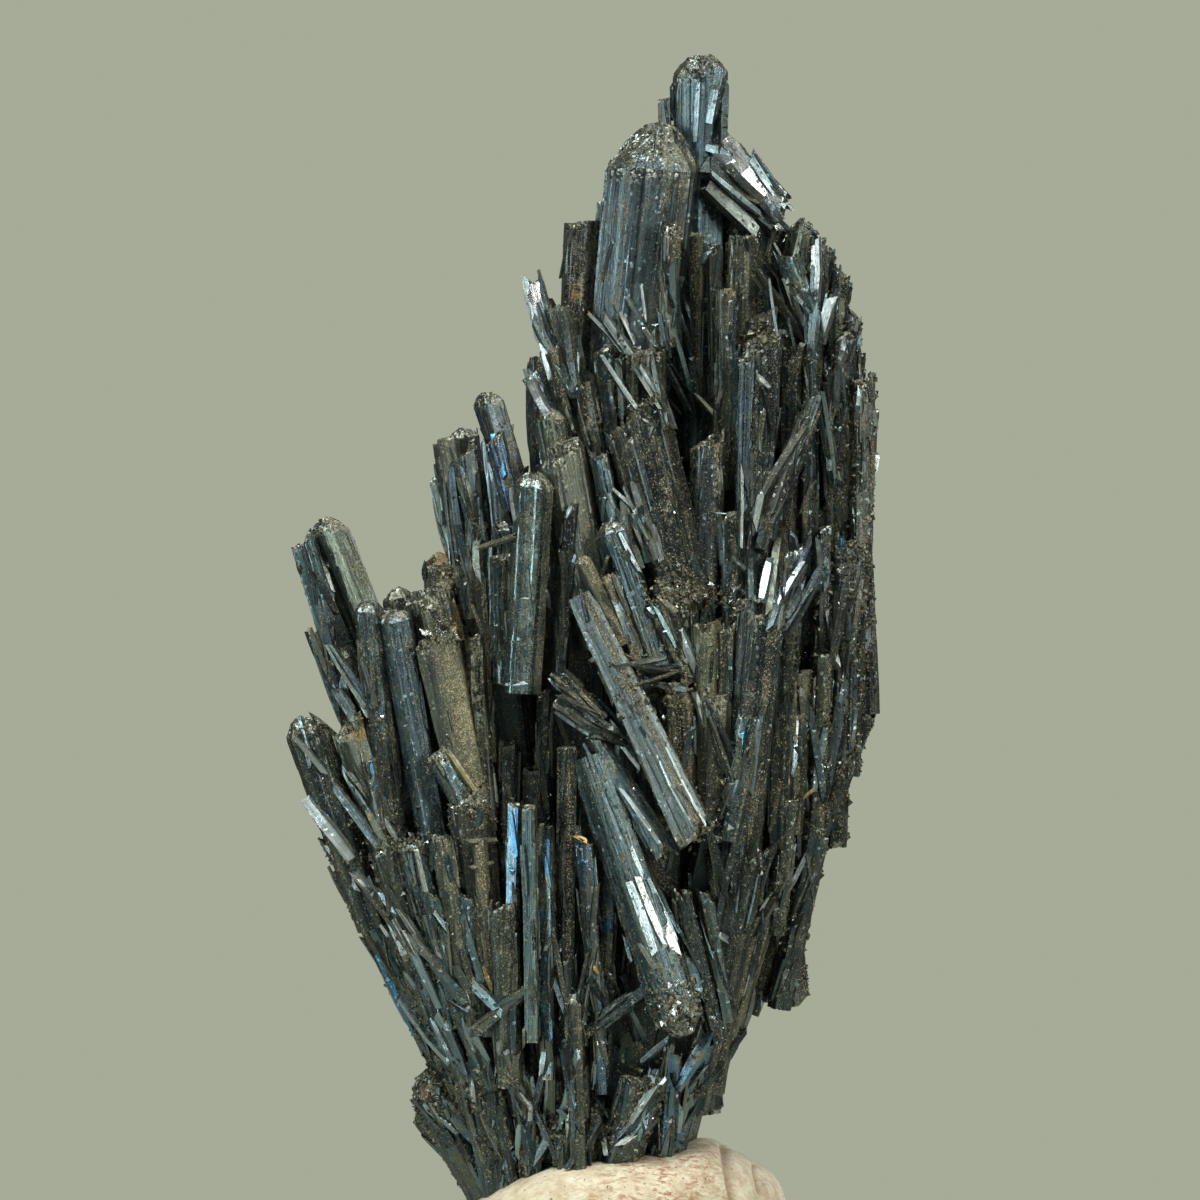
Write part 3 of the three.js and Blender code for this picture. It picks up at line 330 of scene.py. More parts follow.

# Blades and needles seen on the front: where each starts and ends as [x, z], its width, its look, and
# which way its broad side faces
# The white and bright blades stand where highlights show, and some pale ones where a sheen shows: painted
# highlights and sheen
BLADES = [
    [[7.7, 85.3], [7.0, 81.9], 1.1, PALE_AND_SHEEN, LEFTWARD],
    [[6.2, 84.4], [6.0, 80.6], 0.5, PALE_AND_SHEEN, LEFTWARD],
    [[10.5, 77.5], [12.0, 75.2], 0.6, WHITE_HIGHLIGHT, UPWARD],
    [[9.9, 79.7], [12.2, 76.2], 0.5, PALE_AND_SHEEN, LEFTWARD],
    [[8.1, 84.4], [7.9, 79.8], 0.7, DARK, RIGHTWARD],
    [[10.2, 79.0], [12.7, 75.6], 0.4, GREY, RIGHTWARD],
    [[6.9, 79.9], [8.2, 79.6], 0.7, PALE_AND_SHEEN, LEFTWARD],
    [[6.5, 78.0], [10.5, 76.0], 0.5, TAN, UPWARD],
    [[6.8, 77.6], [10.0, 75.2], 0.4, GREY, UPWARD],
    [[7.3, 77.0], [10.6, 74.3], 0.35, PALE_AND_SHEEN, UPWARD],
    [[10.4, 74.5], [10.9, 72.8], 0.35, PALE_AND_SHEEN, LEFTWARD],
    [[8.2, 76.0], [10.9, 73.6], 0.3, GREY, UPWARD],
    [[13.4, 74.6], [12.4, 70.4], 0.5, OLIVE, RIGHTWARD],
    [[10.9, 72.0], [13.5, 69.0], 0.5, GREY, LEFTWARD],
    [[11.0, 70.2], [13.8, 67.6], 0.5, PALE_AND_SHEEN, LEFTWARD],
    [[11.4, 71.4], [13.9, 68.4], 0.4, DARK, LEFTWARD],
    [[14.5, 73.5], [14.2, 67.5], 0.5, WHITE_HIGHLIGHT, LEFTWARD],
    [[15.4, 69.1], [14.8, 66.9], 0.95, WHITE_HIGHLIGHT, LEFTWARD],
    [[16.4, 66.3], [15.9, 65.0], 0.5, PALE_AND_SHEEN, RIGHTWARD],
    [[12.8, 72.6], [13.9, 69.8], 0.4, PALE_AND_SHEEN, LEFTWARD],
    [[9.5, 73.3], [10.6, 70.1], 0.4, BLUE, RIGHTWARD],
    [[6.9, 72.6], [5.5, 70.6], 0.45, PALE_AND_SHEEN, LEFTWARD],
    [[4.2, 74.6], [5.4, 72.0], 0.4, TAN, RIGHTWARD],
    [[1.2, 69.4], [2.5, 67.0], 0.4, PALE_AND_SHEEN, LEFTWARD],
    [[2.4, 67.2], [4.0, 64.5], 0.4, WHITE_HIGHLIGHT, LEFTWARD],
    [[3.9, 64.7], [5.8, 61.0], 0.45, PALE_AND_SHEEN, LEFTWARD],
    [[2.2, 70.3], [2.5, 67.8], 0.3, WHITE_HIGHLIGHT, LEFTWARD],
    [[0.3, 69.0], [1.6, 66.4], 0.45, GREY, RIGHTWARD],
    [[3.6, 71.2], [4.3, 66.5], 0.5, TAN, RIGHTWARD],
    [[4.3, 69.6], [5.6, 66.0], 0.5, PALE_AND_SHEEN, LEFTWARD],
    [[5.5, 66.2], [6.4, 64.0], 0.55, PALE_AND_SHEEN, LEFTWARD],
    [[4.9, 69.9], [6.0, 67.0], 0.35, GREY, LEFTWARD],
    [[4.4, 65.0], [6.1, 62.6], 0.4, WHITE_HIGHLIGHT, LEFTWARD],
    [[6.0, 62.7], [8.6, 59.5], 0.4, TAN, RIGHTWARD],
    [[3.4, 63.2], [4.4, 60.4], 0.5, WHITE_HIGHLIGHT, LEFTWARD],
    [[2.6, 64.6], [3.5, 61.9], 0.4, GREY, LEFTWARD],
    [[12.1, 64.7], [13.2, 61.6], 0.55, PALE_AND_SHEEN, LEFTWARD],
    [[14.7, 66.4], [14.1, 64.8], 0.5, PALE_AND_SHEEN, RIGHTWARD],
    [[10.2, 63.9], [10.9, 63.2], 0.5, WHITE_HIGHLIGHT, UPWARD],
    [[13.7, 60.8], [11.2, 54.4], 0.6, GREY, UPWARD],
    [[13.2, 60.9], [10.5, 53.9], 0.35, TAN, LEFTWARD],
    [[12.6, 58.6], [11.8, 57.2], 0.7, WHITE_HIGHLIGHT, RIGHTWARD],
    [[9.0, 66.0], [9.1, 52.0], 0.3, GREY, RIGHTWARD],
    [[-2.7, 74.2], [-3.4, 70.9], 0.4, GREY, RIGHTWARD],
    [[-5.9, 70.9], [-4.9, 66.4], 0.8, WHITE_HIGHLIGHT, LEFTWARD],
    [[-5.3, 68.8], [-4.1, 63.8], 0.7, WHITE_HIGHLIGHT, LEFTWARD],
    [[-5.8, 64.4], [-4.6, 61.6], 0.8, WHITE_HIGHLIGHT, LEFTWARD],
    [[-4.5, 66.0], [-2.5, 60.0], 0.35, OLIVE, LEFTWARD],
    [[-8.5, 58.0], [-7.6, 55.0], 0.35, PALE_AND_SHEEN, LEFTWARD],
    [[-8.2, 59.8], [-7.3, 56.9], 0.5, VIVID, LEFTWARD],
    [[-10.3, 57.5], [-8.7, 52.2], 0.4, PALE_AND_SHEEN, LEFTWARD],
    [[-6.9, 56.0], [-6.6, 53.8], 0.4, WHITE_HIGHLIGHT, LEFTWARD],
    [[-9.0, 52.0], [-6.6, 52.8], 0.45, TAN, UPWARD],
    [[-2.6, 55.0], [-3.2, 53.8], 0.4, WHITE_HIGHLIGHT, LEFTWARD],
    [[-0.4, 55.3], [-0.5, 53.9], 0.4, PALE_AND_SHEEN, LEFTWARD],
    [[0.2, 56.0], [2.4, 54.0], 0.35, GREY, UPWARD],
    [[0.8, 54.9], [1.3, 53.3], 0.5, WHITE_HIGHLIGHT, RIGHTWARD],
    [[0.7, 52.8], [2.0, 50.3], 0.45, PALE_AND_SHEEN, RIGHTWARD],
    [[3.0, 53.3], [3.5, 51.2], 0.5, WHITE_HIGHLIGHT, LEFTWARD],
    [[2.6, 47.9], [3.4, 47.2], 0.8, PALE_AND_SHEEN, UPWARD],
    [[3.6, 48.3], [4.6, 47.4], 0.6, TAN, UPWARD],
    [[5.0, 45.8], [5.9, 43.7], 0.75, WHITE_HIGHLIGHT, LEFTWARD],
    [[-4.5, 49.0], [-4.3, 47.8], 0.4, WHITE_HIGHLIGHT, LEFTWARD],
    [[-7.1, 42.4], [-5.9, 42.5], 0.4, PALE_AND_SHEEN, UPWARD],
    [[1.2, 43.9], [5.2, 43.3], 0.35, DARK, UPWARD],
    [[1.7, 42.4], [4.9, 43.4], 0.3, OLIVE, UPWARD],
    [[2.4, 42.0], [4.4, 43.0], 0.4, DARK, LEFTWARD],
    [[0.9, 44.6], [3.0, 43.5], 0.3, GREY, UPWARD],
    [[5.8, 44.9], [7.2, 45.2], 0.25, OLIVE, UPWARD],
    [[5.7, 45.8], [7.1, 46.0], 0.25, TAN, UPWARD],
    [[8.6, 51.2], [9.6, 50.2], 0.4, WHITE_HIGHLIGHT, UPWARD],
    [[-3.5, 41.8], [-0.9, 40.6], 0.55, TAN, UPWARD],
    [[-3.7, 42.5], [-1.0, 41.6], 0.45, GREY, UPWARD],
    [[-3.8, 41.0], [-0.9, 39.5], 0.45, GREY, UPWARD],
    [[-3.9, 40.6], [-1.4, 38.9], 0.35, OLIVE, LEFTWARD],
    [[-1.8, 38.3], [-0.9, 36.9], 0.3, PALE_AND_SHEEN, LEFTWARD],
    [[-1.6, 37.6], [-1.1, 36.3], 0.3, PALE_AND_SHEEN, LEFTWARD],
    [[-2.6, 49.9], [-2.5, 48.6], 0.5, WHITE_HIGHLIGHT, LEFTWARD],
    [[-1.5, 44.0], [0.1, 44.8], 0.4, WHITE_HIGHLIGHT, UPWARD],
    [[3.8, 38.2], [6.6, 32.7], 0.28, WHITE_HIGHLIGHT, RIGHTWARD],
    [[3.2, 37.6], [5.9, 32.4], 0.25, PALE_AND_SHEEN, RIGHTWARD],
    [[4.9, 35.6], [6.9, 32.0], 0.25, WHITE_HIGHLIGHT, UPWARD],
    [[0.0, 40.2], [0.8, 38.2], 0.4, WHITE_HIGHLIGHT, LEFTWARD],
    [[0.8, 38.2], [2.5, 36.0], 0.4, WHITE_HIGHLIGHT, LEFTWARD],
    [[0.8, 35.2], [3.4, 31.5], 0.45, WHITE_HIGHLIGHT, LEFTWARD],
    [[-0.5, 35.0], [2.4, 28.4], 0.35, PALE_AND_SHEEN, LEFTWARD],
    [[1.9, 29.0], [3.9, 24.2], 0.7, WHITE_HIGHLIGHT, RIGHTWARD],
    [[1.2, 28.9], [3.1, 23.6], 0.9, PALE_AND_SHEEN, RIGHTWARD],
    [[3.7, 26.0], [4.6, 23.7], 0.9, BRIGHT_HIGHLIGHT, RIGHTWARD],
    [[2.7, 28.8], [4.6, 24.6], 0.5, PALE_AND_SHEEN, RIGHTWARD],
    [[3.4, 28.2], [5.2, 24.6], 0.4, BLUE, UPWARD],
    [[1.3, 28.4], [3.2, 23.6], 0.5, PALE_AND_SHEEN, LEFTWARD],
    [[5.4, 23.4], [6.2, 20.6], 0.9, BLUE, RIGHTWARD],
    [[1.4, 31.2], [2.3, 29.0], 0.5, PALE_AND_SHEEN, RIGHTWARD],
    [[9.2, 37.4], [8.3, 34.0], 0.45, BLUE, LEFTWARD],
    [[-21.8, 38.6], [-19.8, 36.2], 0.5, WHITE_HIGHLIGHT, LEFTWARD],
    [[-21.6, 40.0], [-20.8, 36.6], 0.5, PALE_AND_SHEEN, LEFTWARD],
    [[-21.1, 34.3], [-17.9, 30.3], 1.0, WHITE_HIGHLIGHT, LEFTWARD],
    [[-17.9, 29.5], [-16.6, 28.0], 0.8, WHITE_HIGHLIGHT, UPWARD],
    [[-19.9, 31.3], [-17.5, 28.0], 0.45, WHITE_HIGHLIGHT, LEFTWARD],
    [[-16.0, 28.0], [-15.0, 26.5], 0.5, PALE_AND_SHEEN, LEFTWARD],
    [[-15.9, 25.6], [-15.4, 24.8], 0.4, WHITE_HIGHLIGHT, LEFTWARD],
    [[-11.0, 48.3], [-10.3, 45.4], 0.5, YELLOW, RIGHTWARD],
    [[-10.1, 49.5], [-10.2, 46.6], 0.35, WHITE_HIGHLIGHT, LEFTWARD],
    [[-11.2, 37.7], [-9.5, 35.2], 0.5, YELLOW, RIGHTWARD],
    [[-20.9, 46.1], [-19.7, 43.2], 0.5, TAN, LEFTWARD],
    [[-9.8, 31.5], [-8.1, 31.6], 0.5, TAN, UPWARD],
    [[-9.6, 29.7], [-8.2, 30.0], 0.45, TAN, UPWARD],
    [[-16.6, 37.0], [-16.3, 34.8], 0.35, VIVID, LEFTWARD],
    [[-14.0, 24.7], [-12.0, 20.3], 0.8, PALE_AND_SHEEN, LEFTWARD],
    [[-9.9, 18.9], [-8.5, 16.3], 0.9, PALE_AND_SHEEN, LEFTWARD],
    [[-12.2, 19.8], [-10.0, 15.8], 1.1, PALE_AND_SHEEN, LEFTWARD],
    [[-16.4, 23.7], [-14.6, 20.4], 0.4, VIVID, LEFTWARD],
    [[-15.6, 21.9], [-13.6, 17.9], 0.4, VIVID, LEFTWARD],
    [[-9.3, 27.0], [-8.4, 22.0], 0.35, TAN, RIGHTWARD],
    [[-6.9, 33.6], [-6.5, 30.6], 0.5, VIVID, LEFTWARD],
    [[-6.8, 29.5], [-6.1, 27.4], 0.5, VIVID, LEFTWARD],
    [[-4.5, 30.3], [-4.2, 28.6], 0.4, VIVID, LEFTWARD],
    [[-8.8, 22.7], [-8.2, 21.3], 0.35, GOLD, RIGHTWARD],
    [[-1.3, 23.0], [-0.8, 22.3], 0.35, GOLD, RIGHTWARD],
    [[-0.6, 20.9], [-0.4, 20.1], 0.35, GOLD, RIGHTWARD],
    [[-2.4, 31.9], [-1.6, 31.5], 0.5, GOLD, UPWARD],
    [[-3.9, 16.5], [-3.8, 15.6], 0.35, GOLD, RIGHTWARD],
    [[-4.2, 14.2], [-4.1, 12.8], 0.35, GOLD, RIGHTWARD],
    [[-3.9, 25.3], [-4.4, 24.1], 0.4, WHITE_HIGHLIGHT, LEFTWARD],
    [[-3.3, 24.8], [-3.9, 23.1], 0.4, PALE_AND_SHEEN, LEFTWARD],
    [[-2.1, 24.9], [-2.1, 22.3], 0.4, PALE_AND_SHEEN, LEFTWARD],
    [[-3.2, 21.0], [-3.5, 19.2], 0.4, WHITE_HIGHLIGHT, LEFTWARD],
    [[1.4, 19.8], [2.6, 17.2], 0.5, PALE_AND_SHEEN, RIGHTWARD],
    [[-5.7, 15.9], [-5.4, 14.4], 0.4, VIVID, LEFTWARD],
    [[-9.6, 14.7], [-9.4, 13.2], 0.5, WHITE_HIGHLIGHT, LEFTWARD],
    [[-8.1, 12.0], [-8.4, 11.0], 0.4, WHITE_HIGHLIGHT, LEFTWARD],
    [[-6.6, 11.3], [-6.8, 10.2], 0.5, WHITE_HIGHLIGHT, LEFTWARD],
    [[-13.0, 13.3], [-12.0, 11.6], 0.5, PALE_AND_SHEEN, LEFTWARD],
    [[-11.8, 12.2], [-10.6, 11.1], 0.45, PALE_AND_SHEEN, LEFTWARD],
    [[12.9, 40.5], [12.8, 38.4], 0.6, WHITE_HIGHLIGHT, RIGHTWARD],
    [[12.9, 38.6], [12.7, 36.2], 0.45, PALE_AND_SHEEN, RIGHTWARD],
    [[13.3, 42.3], [13.4, 40.6], 0.6, OLIVE, RIGHTWARD],
    [[14.3, 43.0], [14.1, 38.4], 0.5, TAN, RIGHTWARD],
    [[13.3, 34.4], [14.2, 35.1], 0.3, GOLD, RIGHTWARD],
    [[9.2, 39.2], [9.0, 37.4], 0.4, VIVID, LEFTWARD],
    [[9.9, 39.0], [9.7, 37.6], 0.4, TAN, RIGHTWARD],
    [[11.4, 28.0], [10.4, 26.6], 0.35, WHITE_HIGHLIGHT, RIGHTWARD],
    [[10.0, 23.6], [10.7, 26.4], 0.4, TAN, RIGHTWARD],
    [[7.6, 25.1], [8.2, 24.7], 0.5, WHITE_HIGHLIGHT, UPWARD],
    [[12.5, 22.3], [13.1, 21.3], 0.5, PALE_AND_SHEEN, RIGHTWARD],
    [[10.5, 20.9], [10.5, 20.0], 0.4, PALE_AND_SHEEN, LEFTWARD],
    [[18.0, 46.3], [17.8, 44.9], 0.6, PALE_AND_SHEEN, RIGHTWARD],
    [[17.3, 48.5], [16.9, 47.5], 0.4, WHITE_HIGHLIGHT, RIGHTWARD],
    [[16.4, 43.6], [16.0, 41.0], 0.4, PALE_AND_SHEEN, RIGHTWARD],
    [[16.2, 52.7], [16.2, 52.2], 0.5, VIVID, RIGHTWARD],
    [[18.4, 61.5], [18.6, 60.3], 0.5, WHITE_HIGHLIGHT, RIGHTWARD],
    [[18.7, 58.7], [18.6, 57.6], 0.5, WHITE_HIGHLIGHT, RIGHTWARD],
    [[4.6, 14.3], [6.9, 18.2], 0.9, IRIS, LEFTWARD],
    [[2.1, 16.2], [3.9, 17.8], 0.5, PALE_AND_SHEEN, LEFTWARD],
    [[5.2, 14.3], [6.6, 16.0], 0.5, PALE_AND_SHEEN, LEFTWARD],
    [[2.2, 13.3], [3.9, 15.2], 0.4, PALE_AND_SHEEN, RIGHTWARD],
]

# Plates that stand a little off the front, the brightest of them painted highlights: both ends, width, look,
# and which way the broad side faces
PLATES = [
    [[8.4, -1.95, 79.4], [11.0, -1.65, 76.8], 1.9, BRIGHT_HIGHLIGHT, RIGHTWARD],
    [[9.9, -2.05, 79.0], [12.2, -1.75, 75.9], 1.0, PALE_AND_SHEEN, RIGHTWARD],
    [[7.0, -1.4, 78.6], [11.6, -1.0, 74.4], 1.9, DARK, RIGHTWARD],
    [[6.6, -1.8, 77.4], [10.4, -1.3, 73.8], 1.3, GREY, RIGHTWARD],
    [[7.2, -2.2, 78.0], [10.6, -1.9, 75.2], 0.5, PALE_AND_SHEEN, UPWARD],
]

# Fans of blades: the foot as [x, z], the way the fan points in degrees from straight up, how far it
# opens, its length, how many blades, their width and look
FANS = [
    [[11.6, 46.6], 8, 34, 6.2, 12, 0.42, PALE_AND_SHEEN],
    [[12.4, 47.6], 4, 24, 5.0, 9, 0.34, LILAC],
    [[10.4, 53.4], 24, 14, 8.6, 9, 0.40, GREY],
    [[3.6, 61.0], -24, 20, 9.0, 9, 0.42, GREY],
    [[5.4, 62.4], -16, 18, 8.0, 7, 0.40, PALE_AND_SHEEN],
    [[13.2, 66.6], -26, 22, 6.4, 8, 0.42, GREY],
    [[14.4, 66.2], -2, 14, 7.4, 6, 0.40, PALE_AND_SHEEN],
    [[-0.4, 39.6], -66, 34, 3.6, 9, 0.42, GREY],
    [[4.6, 43.0], -88, 26, 3.6, 8, 0.40, GREY],
    [[-9.2, 20.0], -34, 22, 7.0, 9, 0.50, BLUE],
    [[-10.6, 15.6], -36, 24, 7.4, 9, 0.50, PALE_AND_SHEEN],
    [[-6.2, 12.4], -16, 30, 5.2, 8, 0.45, GREY],
    [[-4.2, 12.0], -2, 22, 5.0, 8, 0.40, OLIVE],
    [[-3.0, 20.0], -4, 18, 6.4, 8, 0.36, BLUE],
    [[0.4, 18.0], -6, 22, 6.0, 8, 0.40, BLUE],
    [[-12.8, 23.0], -28, 24, 7.4, 10, 0.45, GREY],
    [[-15.4, 31.6], -26, 26, 6.4, 9, 0.42, OLIVE],
    [[-17.4, 40.6], -26, 14, 5.6, 7, 0.45, OLIVE],
    [[-9.4, 50.4], -14, 22, 7.0, 9, 0.40, BLUE],
    [[-2.6, 62.6], -20, 22, 6.4, 8, 0.40, OLIVE],
    [[7.4, 27.0], -2, 30, 6.2, 7, 0.40, DARK],
    [[10.6, 24.6], 16, 26, 7.0, 7, 0.42, DARK],
    [[14.6, 34.6], 8, 24, 7.4, 10, 0.42, BLUE],
    [[16.2, 44.0], 4, 18, 7.0, 9, 0.40, GREY],
    [[8.4, 36.4], -12, 30, 5.4, 8, 0.40, OLIVE],
    [[2.2, 51.0], -18, 24, 5.4, 7, 0.40, OLIVE],
    [[15.4, 57.0], 2, 16, 8.0, 8, 0.40, BLUE],
    [[-11.4, 10.8], -32, 44, 4.6, 9, 0.50, DARK],
    [[-8.0, 9.6], -18, 54, 4.6, 9, 0.45, DARK],
    [[-4.6, 9.4], 6, 50, 4.4, 8, 0.45, INK],
    [[-1.8, 10.2], -4, 60, 4.2, 8, 0.45, DARK],
    [[1.4, 11.0], 26, 40, 5.0, 9, 0.50, INK],
    [[5.2, 12.6], 18, 40, 5.0, 8, 0.45, DARK],
]

# Stains on the front: middle as [x, z], half size as [across, up], colour and how dense
STAINS = [
    [[-2.3, 70.1], [0.9, 0.9], OCHRE, 0.8],
    [[-1.7, 69.0], [0.7, 1.0], OCHRE, 0.6],
    [[8.1, 69.9], [0.9, 0.8], OCHRE, 0.5],
    [[-11.4, 49.8], [0.9, 1.5], CREAM, 0.8],
    [[-11.7, 51.4], [0.6, 0.8], OCHRE, 0.8],
    [[-10.6, 46.9], [0.4, 1.6], OCHRE, 0.6],
    [[-18.7, 39.5], [1.4, 1.3], CREAM, 0.6],
    [[-17.4, 39.3], [0.7, 1.2], OCHRE, 0.7],
    [[-16.6, 33.4], [0.3, 0.8], OCHRE, 0.8],
    [[-9.9, 40.6], [1.1, 5.0], CREAM, 0.7],
    [[-11.2, 43.0], [0.3, 2.6], CREAM, 0.7],
    [[5.0, 48.4], [2.6, 1.8], CREAM, 0.30],
    [[7.2, 46.6], [1.8, 1.4], OCHRE, 0.22],
    [[4.0, 55.6], [0.5, 3.6], CREAM, 0.45],
    [[5.9, 57.4], [0.4, 3.0], CREAM, 0.4],
    [[-0.6, 60.3], [2.6, 0.9], CREAM, 0.45],
    [[2.6, 58.6], [2.2, 0.8], CREAM, 0.4],
    [[0.0, 36.8], [0.6, 0.8], CREAM, 0.7],
    [[1.2, 35.6], [0.3, 0.6], RUST, 0.7],
    [[-13.0, 14.0], [1.2, 0.6], RUST, 0.5],
    [[-7.4, 25.4], [0.9, 2.8], CREAM, 0.3],
    [[12.9, 42.0], [0.5, 1.4], CREAM, 0.5],
    [[16.8, 61.0], [0.5, 1.4], OCHRE, 0.5],
    [[-3.3, 46.2], [0.8, 4.0], CREAM, 0.25],
    [[5.6, 40.6], [1.2, 1.6], CREAM, 0.35],
    [[4.2, 63.4], [0.5, 1.0], RUST, 0.3],
    [[12.3, 56.0], [0.3, 0.3], RUST, 0.8],
]


# Smooth noise: how far a seed shifts it, and the numbers that turn a cell's corner into a random value
NOISE_SHIFT = 13.37
NOISE_KEY = np.array([127.1, 311.7, 74.7])
NOISE_GAIN = 43758.5453


def value_noise(points, scale, seed=0.0):
    """Smooth noise from -1 to 1 at each point, with features about 1 / scale across."""
    at = np.asarray(points) * scale + seed * NOISE_SHIFT
    cell = np.floor(at)
    part = at - cell
    part = part * part * (3 - 2 * part)
    total = np.zeros(len(at))
    for corner in range(8):
        step = np.array([corner & 1, corner >> 1 & 1, corner >> 2 & 1])
        weight = np.prod(np.where(step == 1, part, 1 - part), axis=1)
        key = np.sin((cell + step) @ NOISE_KEY) * NOISE_GAIN
        total += weight * (key - np.floor(key))
    return 2 * total - 1


# Stains lie on what is in front of this depth, and fade towards their edge with this power
STAIN_DEPTH = 2.0
STAIN_FADE = 1.5


def stain_colours(points):
    """The colour of the stains at each point, with their density as the fourth value."""
    rows = np.zeros((len(points), 4))
    rows[:, :3] = OCHRE
    for (x, z), (across, up), colour, dense in STAINS:
        apart = ((points[:, 0] - x) / across) ** 2 + ((points[:, 2] - z) / up) ** 2
        share = dense * np.exp(-(apart ** STAIN_FADE)) * (points[:, 1] < STAIN_DEPTH)
        stronger = share > rows[:, 3]
        rows[stronger, :3] = colour
        rows[:, 3] = np.maximum(rows[:, 3], share)
    return rows


# Painted shade: the metal's colour is darker towards the foot of the spray
FOOT_PAINTED_SHADE = 0.86
PAINTED_SHADE_START = 20
PAINTED_SHADE_RISE = 16

# The material slot and the CAD node of each part
SPRAY = ("stibnite", "crystal_cluster")
LUMP = ("putty", "putty_lump")


class Shells:
    """Closed shells gathered into one mesh, with the attributes that the materials read."""

    def __init__(self):
        self.points = []
        self.faces = []
        self.grain = []
        self.metal = []
        self.surface = []
        self.count = 0

    def add(self, points, faces, grain, metal, surface):
        """Points in millimetres. Grain is the place in the crystal's own frame, metal is its colour, and
        surface holds dust, tarnish, share of broken end and roughness."""
        self.points.append(points)
        self.faces.append(np.asarray(faces) + self.count)
        self.grain.append(grain)
        self.metal.append(metal)
        self.surface.append(surface)
        self.count += len(points)

    def build(self, name, material, part):
        """The piece of the scene that the shells make, cut off at the CAD model's box."""
        points = np.clip(np.concatenate(self.points), BOX_LOW, BOX_HIGH)
        faces = np.concatenate(self.faces)
        mesh = bpy.data.meshes.new(name)
        mesh.vertices.add(len(points))
        mesh.loops.add(3 * len(faces))
        mesh.polygons.add(len(faces))
        mesh.vertices.foreach_set("co", (points * MM).astype(np.float32).ravel())
        mesh.polygons.foreach_set("loop_start", (np.arange(len(faces)) * 3).astype(np.int32))
        mesh.loops.foreach_set("vertex_index", faces.astype(np.int32).ravel())
        mesh.update(calc_edges=True)
        grain = mesh.attributes.new("grain", "FLOAT_VECTOR", "POINT")
        grain.data.foreach_set("vector", np.concatenate(self.grain).astype(np.float32).ravel())
        # Painted shade: the metal's colour darkens towards the foot of the spray
        rise = np.clip((points[:, 2] - PAINTED_SHADE_START) / PAINTED_SHADE_RISE, 0, 1)
        metal = np.concatenate(self.metal) * (FOOT_PAINTED_SHADE + (1 - FOOT_PAINTED_SHADE) * rise)[:, None]
        colours = {
            "metal": np.column_stack([metal, np.ones(len(metal))]),
            "surface": np.concatenate(self.surface),
            "stain": stain_colours(points),
        }
        for key, rows in colours.items():
            layer = mesh.attributes.new(key, "FLOAT_COLOR", "POINT")
            layer.data.foreach_set("color", rows.astype(np.float32).ravel())
        mesh.materials.append(material)
        mesh.shade_flat()
        slot, replaced = part
        piece = bpy.data.objects.new(name, mesh)
        bpy.context.scene.collection.objects.link(piece)
        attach(piece, "root")
        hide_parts(replaced)
        print("piece", name, len(faces), "triangles")
        return piece


def ring_faces(rings, around):
    """Triangles that join rings of points into a closed skin. Two more points, the middles of its first and
    last end, follow those of the rings."""
    total = rings * around
    index = np.arange(total).reshape(rings, around)
    following = np.roll(index, -1, axis=1)
    low, low_next, high, high_next = index[:-1], following[:-1], index[1:], following[1:]
    return np.concatenate([
        np.stack([low, low_next, high_next], axis=-1).reshape(-1, 3),
        np.stack([low, high_next, high], axis=-1).reshape(-1, 3),
        np.stack([np.full(around, total), following[0], index[0]], axis=-1),
        np.stack([np.full(around, total + 1), index[-1], following[-1]], axis=-1),
    ])


# Spacing in millimetres of the points round a crystal, of the rings along it and of those across its end
PITCH = 0.16
HEART_PITCH = 0.34
BACK_PITCH = 0.21
RING_SPACING = 1.5
FEWEST_RINGS = 5
RING_SCATTER = 0.3
CAP_PITCH = 0.24
FEWEST_CAP_RINGS = 3

# Strips along a crystal: their width, depth as a share of the crystal's width, brightness and dust
MOST_STRIPS = 400
STRIP_WIDTHS = (0.10, 0.55)
STRIP_GROWTH = (0.7, 0.14)
GROOVE_SHARE = 0.009
GROOVE_POWER = 1.6
DEEP_GROOVE_SHARE = 0.04
DEEP_GROOVES = 0.06
STRIP_SHADES = (-0.30, 0.34)
CALM_WIDTH = 2.2
LEAST_CALM = 0.4
STRIP_DUST = 0.10
DUSTY_STRIP = 0.34
DUSTY_STRIPS = 0.2

# Steps where a strip has broken off, ripples and chipped edges
BREAKS = 3
UNBROKEN = 3
BREAK_SPAN = (0.2, 0.97)
BREAK_DEPTHS = (0.4, 1.5)
LEDGE = 0.05
RIPPLE = 0.006
CHIP = 0.10
CHIP_POWER = 3
CHIP_GROWTH = 0.4

# The broken tip: how many levels it has, how deep they lie as a share of the width, and how granular it is
TIP_LEVELS = (5, 12)
HIGHEST_SHARE = 0.35
LEVEL_DEPTHS = (0.02, 0.36)
ROUNDED_LEVELS = 0.3
ROUNDED_LEAN = 0.10
CRUST_BACK = 0.32
INNER_CRUST = 0.35
ROUNDED_GRIT = (0.2, 0.5)
BROKEN_GRIT = (0.3, 1.0)
CAP_ROUGHNESS = 0.26
CAP_GROWTH = (0.3, 0.2)
MOST_CAP_GROWTH = 1.2
CAP_FADE = 6
SMOOTH_SHOULDER = 0.75
CAP_NOISES = ((0.7, 1.3, 0.0), (0.5, 3.3, 0.5))
SIDE_ROUGHNESS = 0.5
INWARD_ROUGHNESS = 0.35

# How much crystals differ from their look, and where their dusty side begins. That side is each crystal's
# right side, dustier partly as a painted tan that stands for warm light from the right
METAL_RANGE = (0.8, 1.25)
TINT_RANGE = (0.96, 1.04)
DUST_RANGE = (0.75, 1.2)
ROUGH_RANGE = (0.85, 1.15)
DUST_AND_WARM_LIGHT_EDGE = -0.3
DUST_AND_WARM_LIGHT_FADE = 0.35
CLEAN_SIDE = 0.25
DUST_AND_WARM_LIGHT_SIDE = 0.9

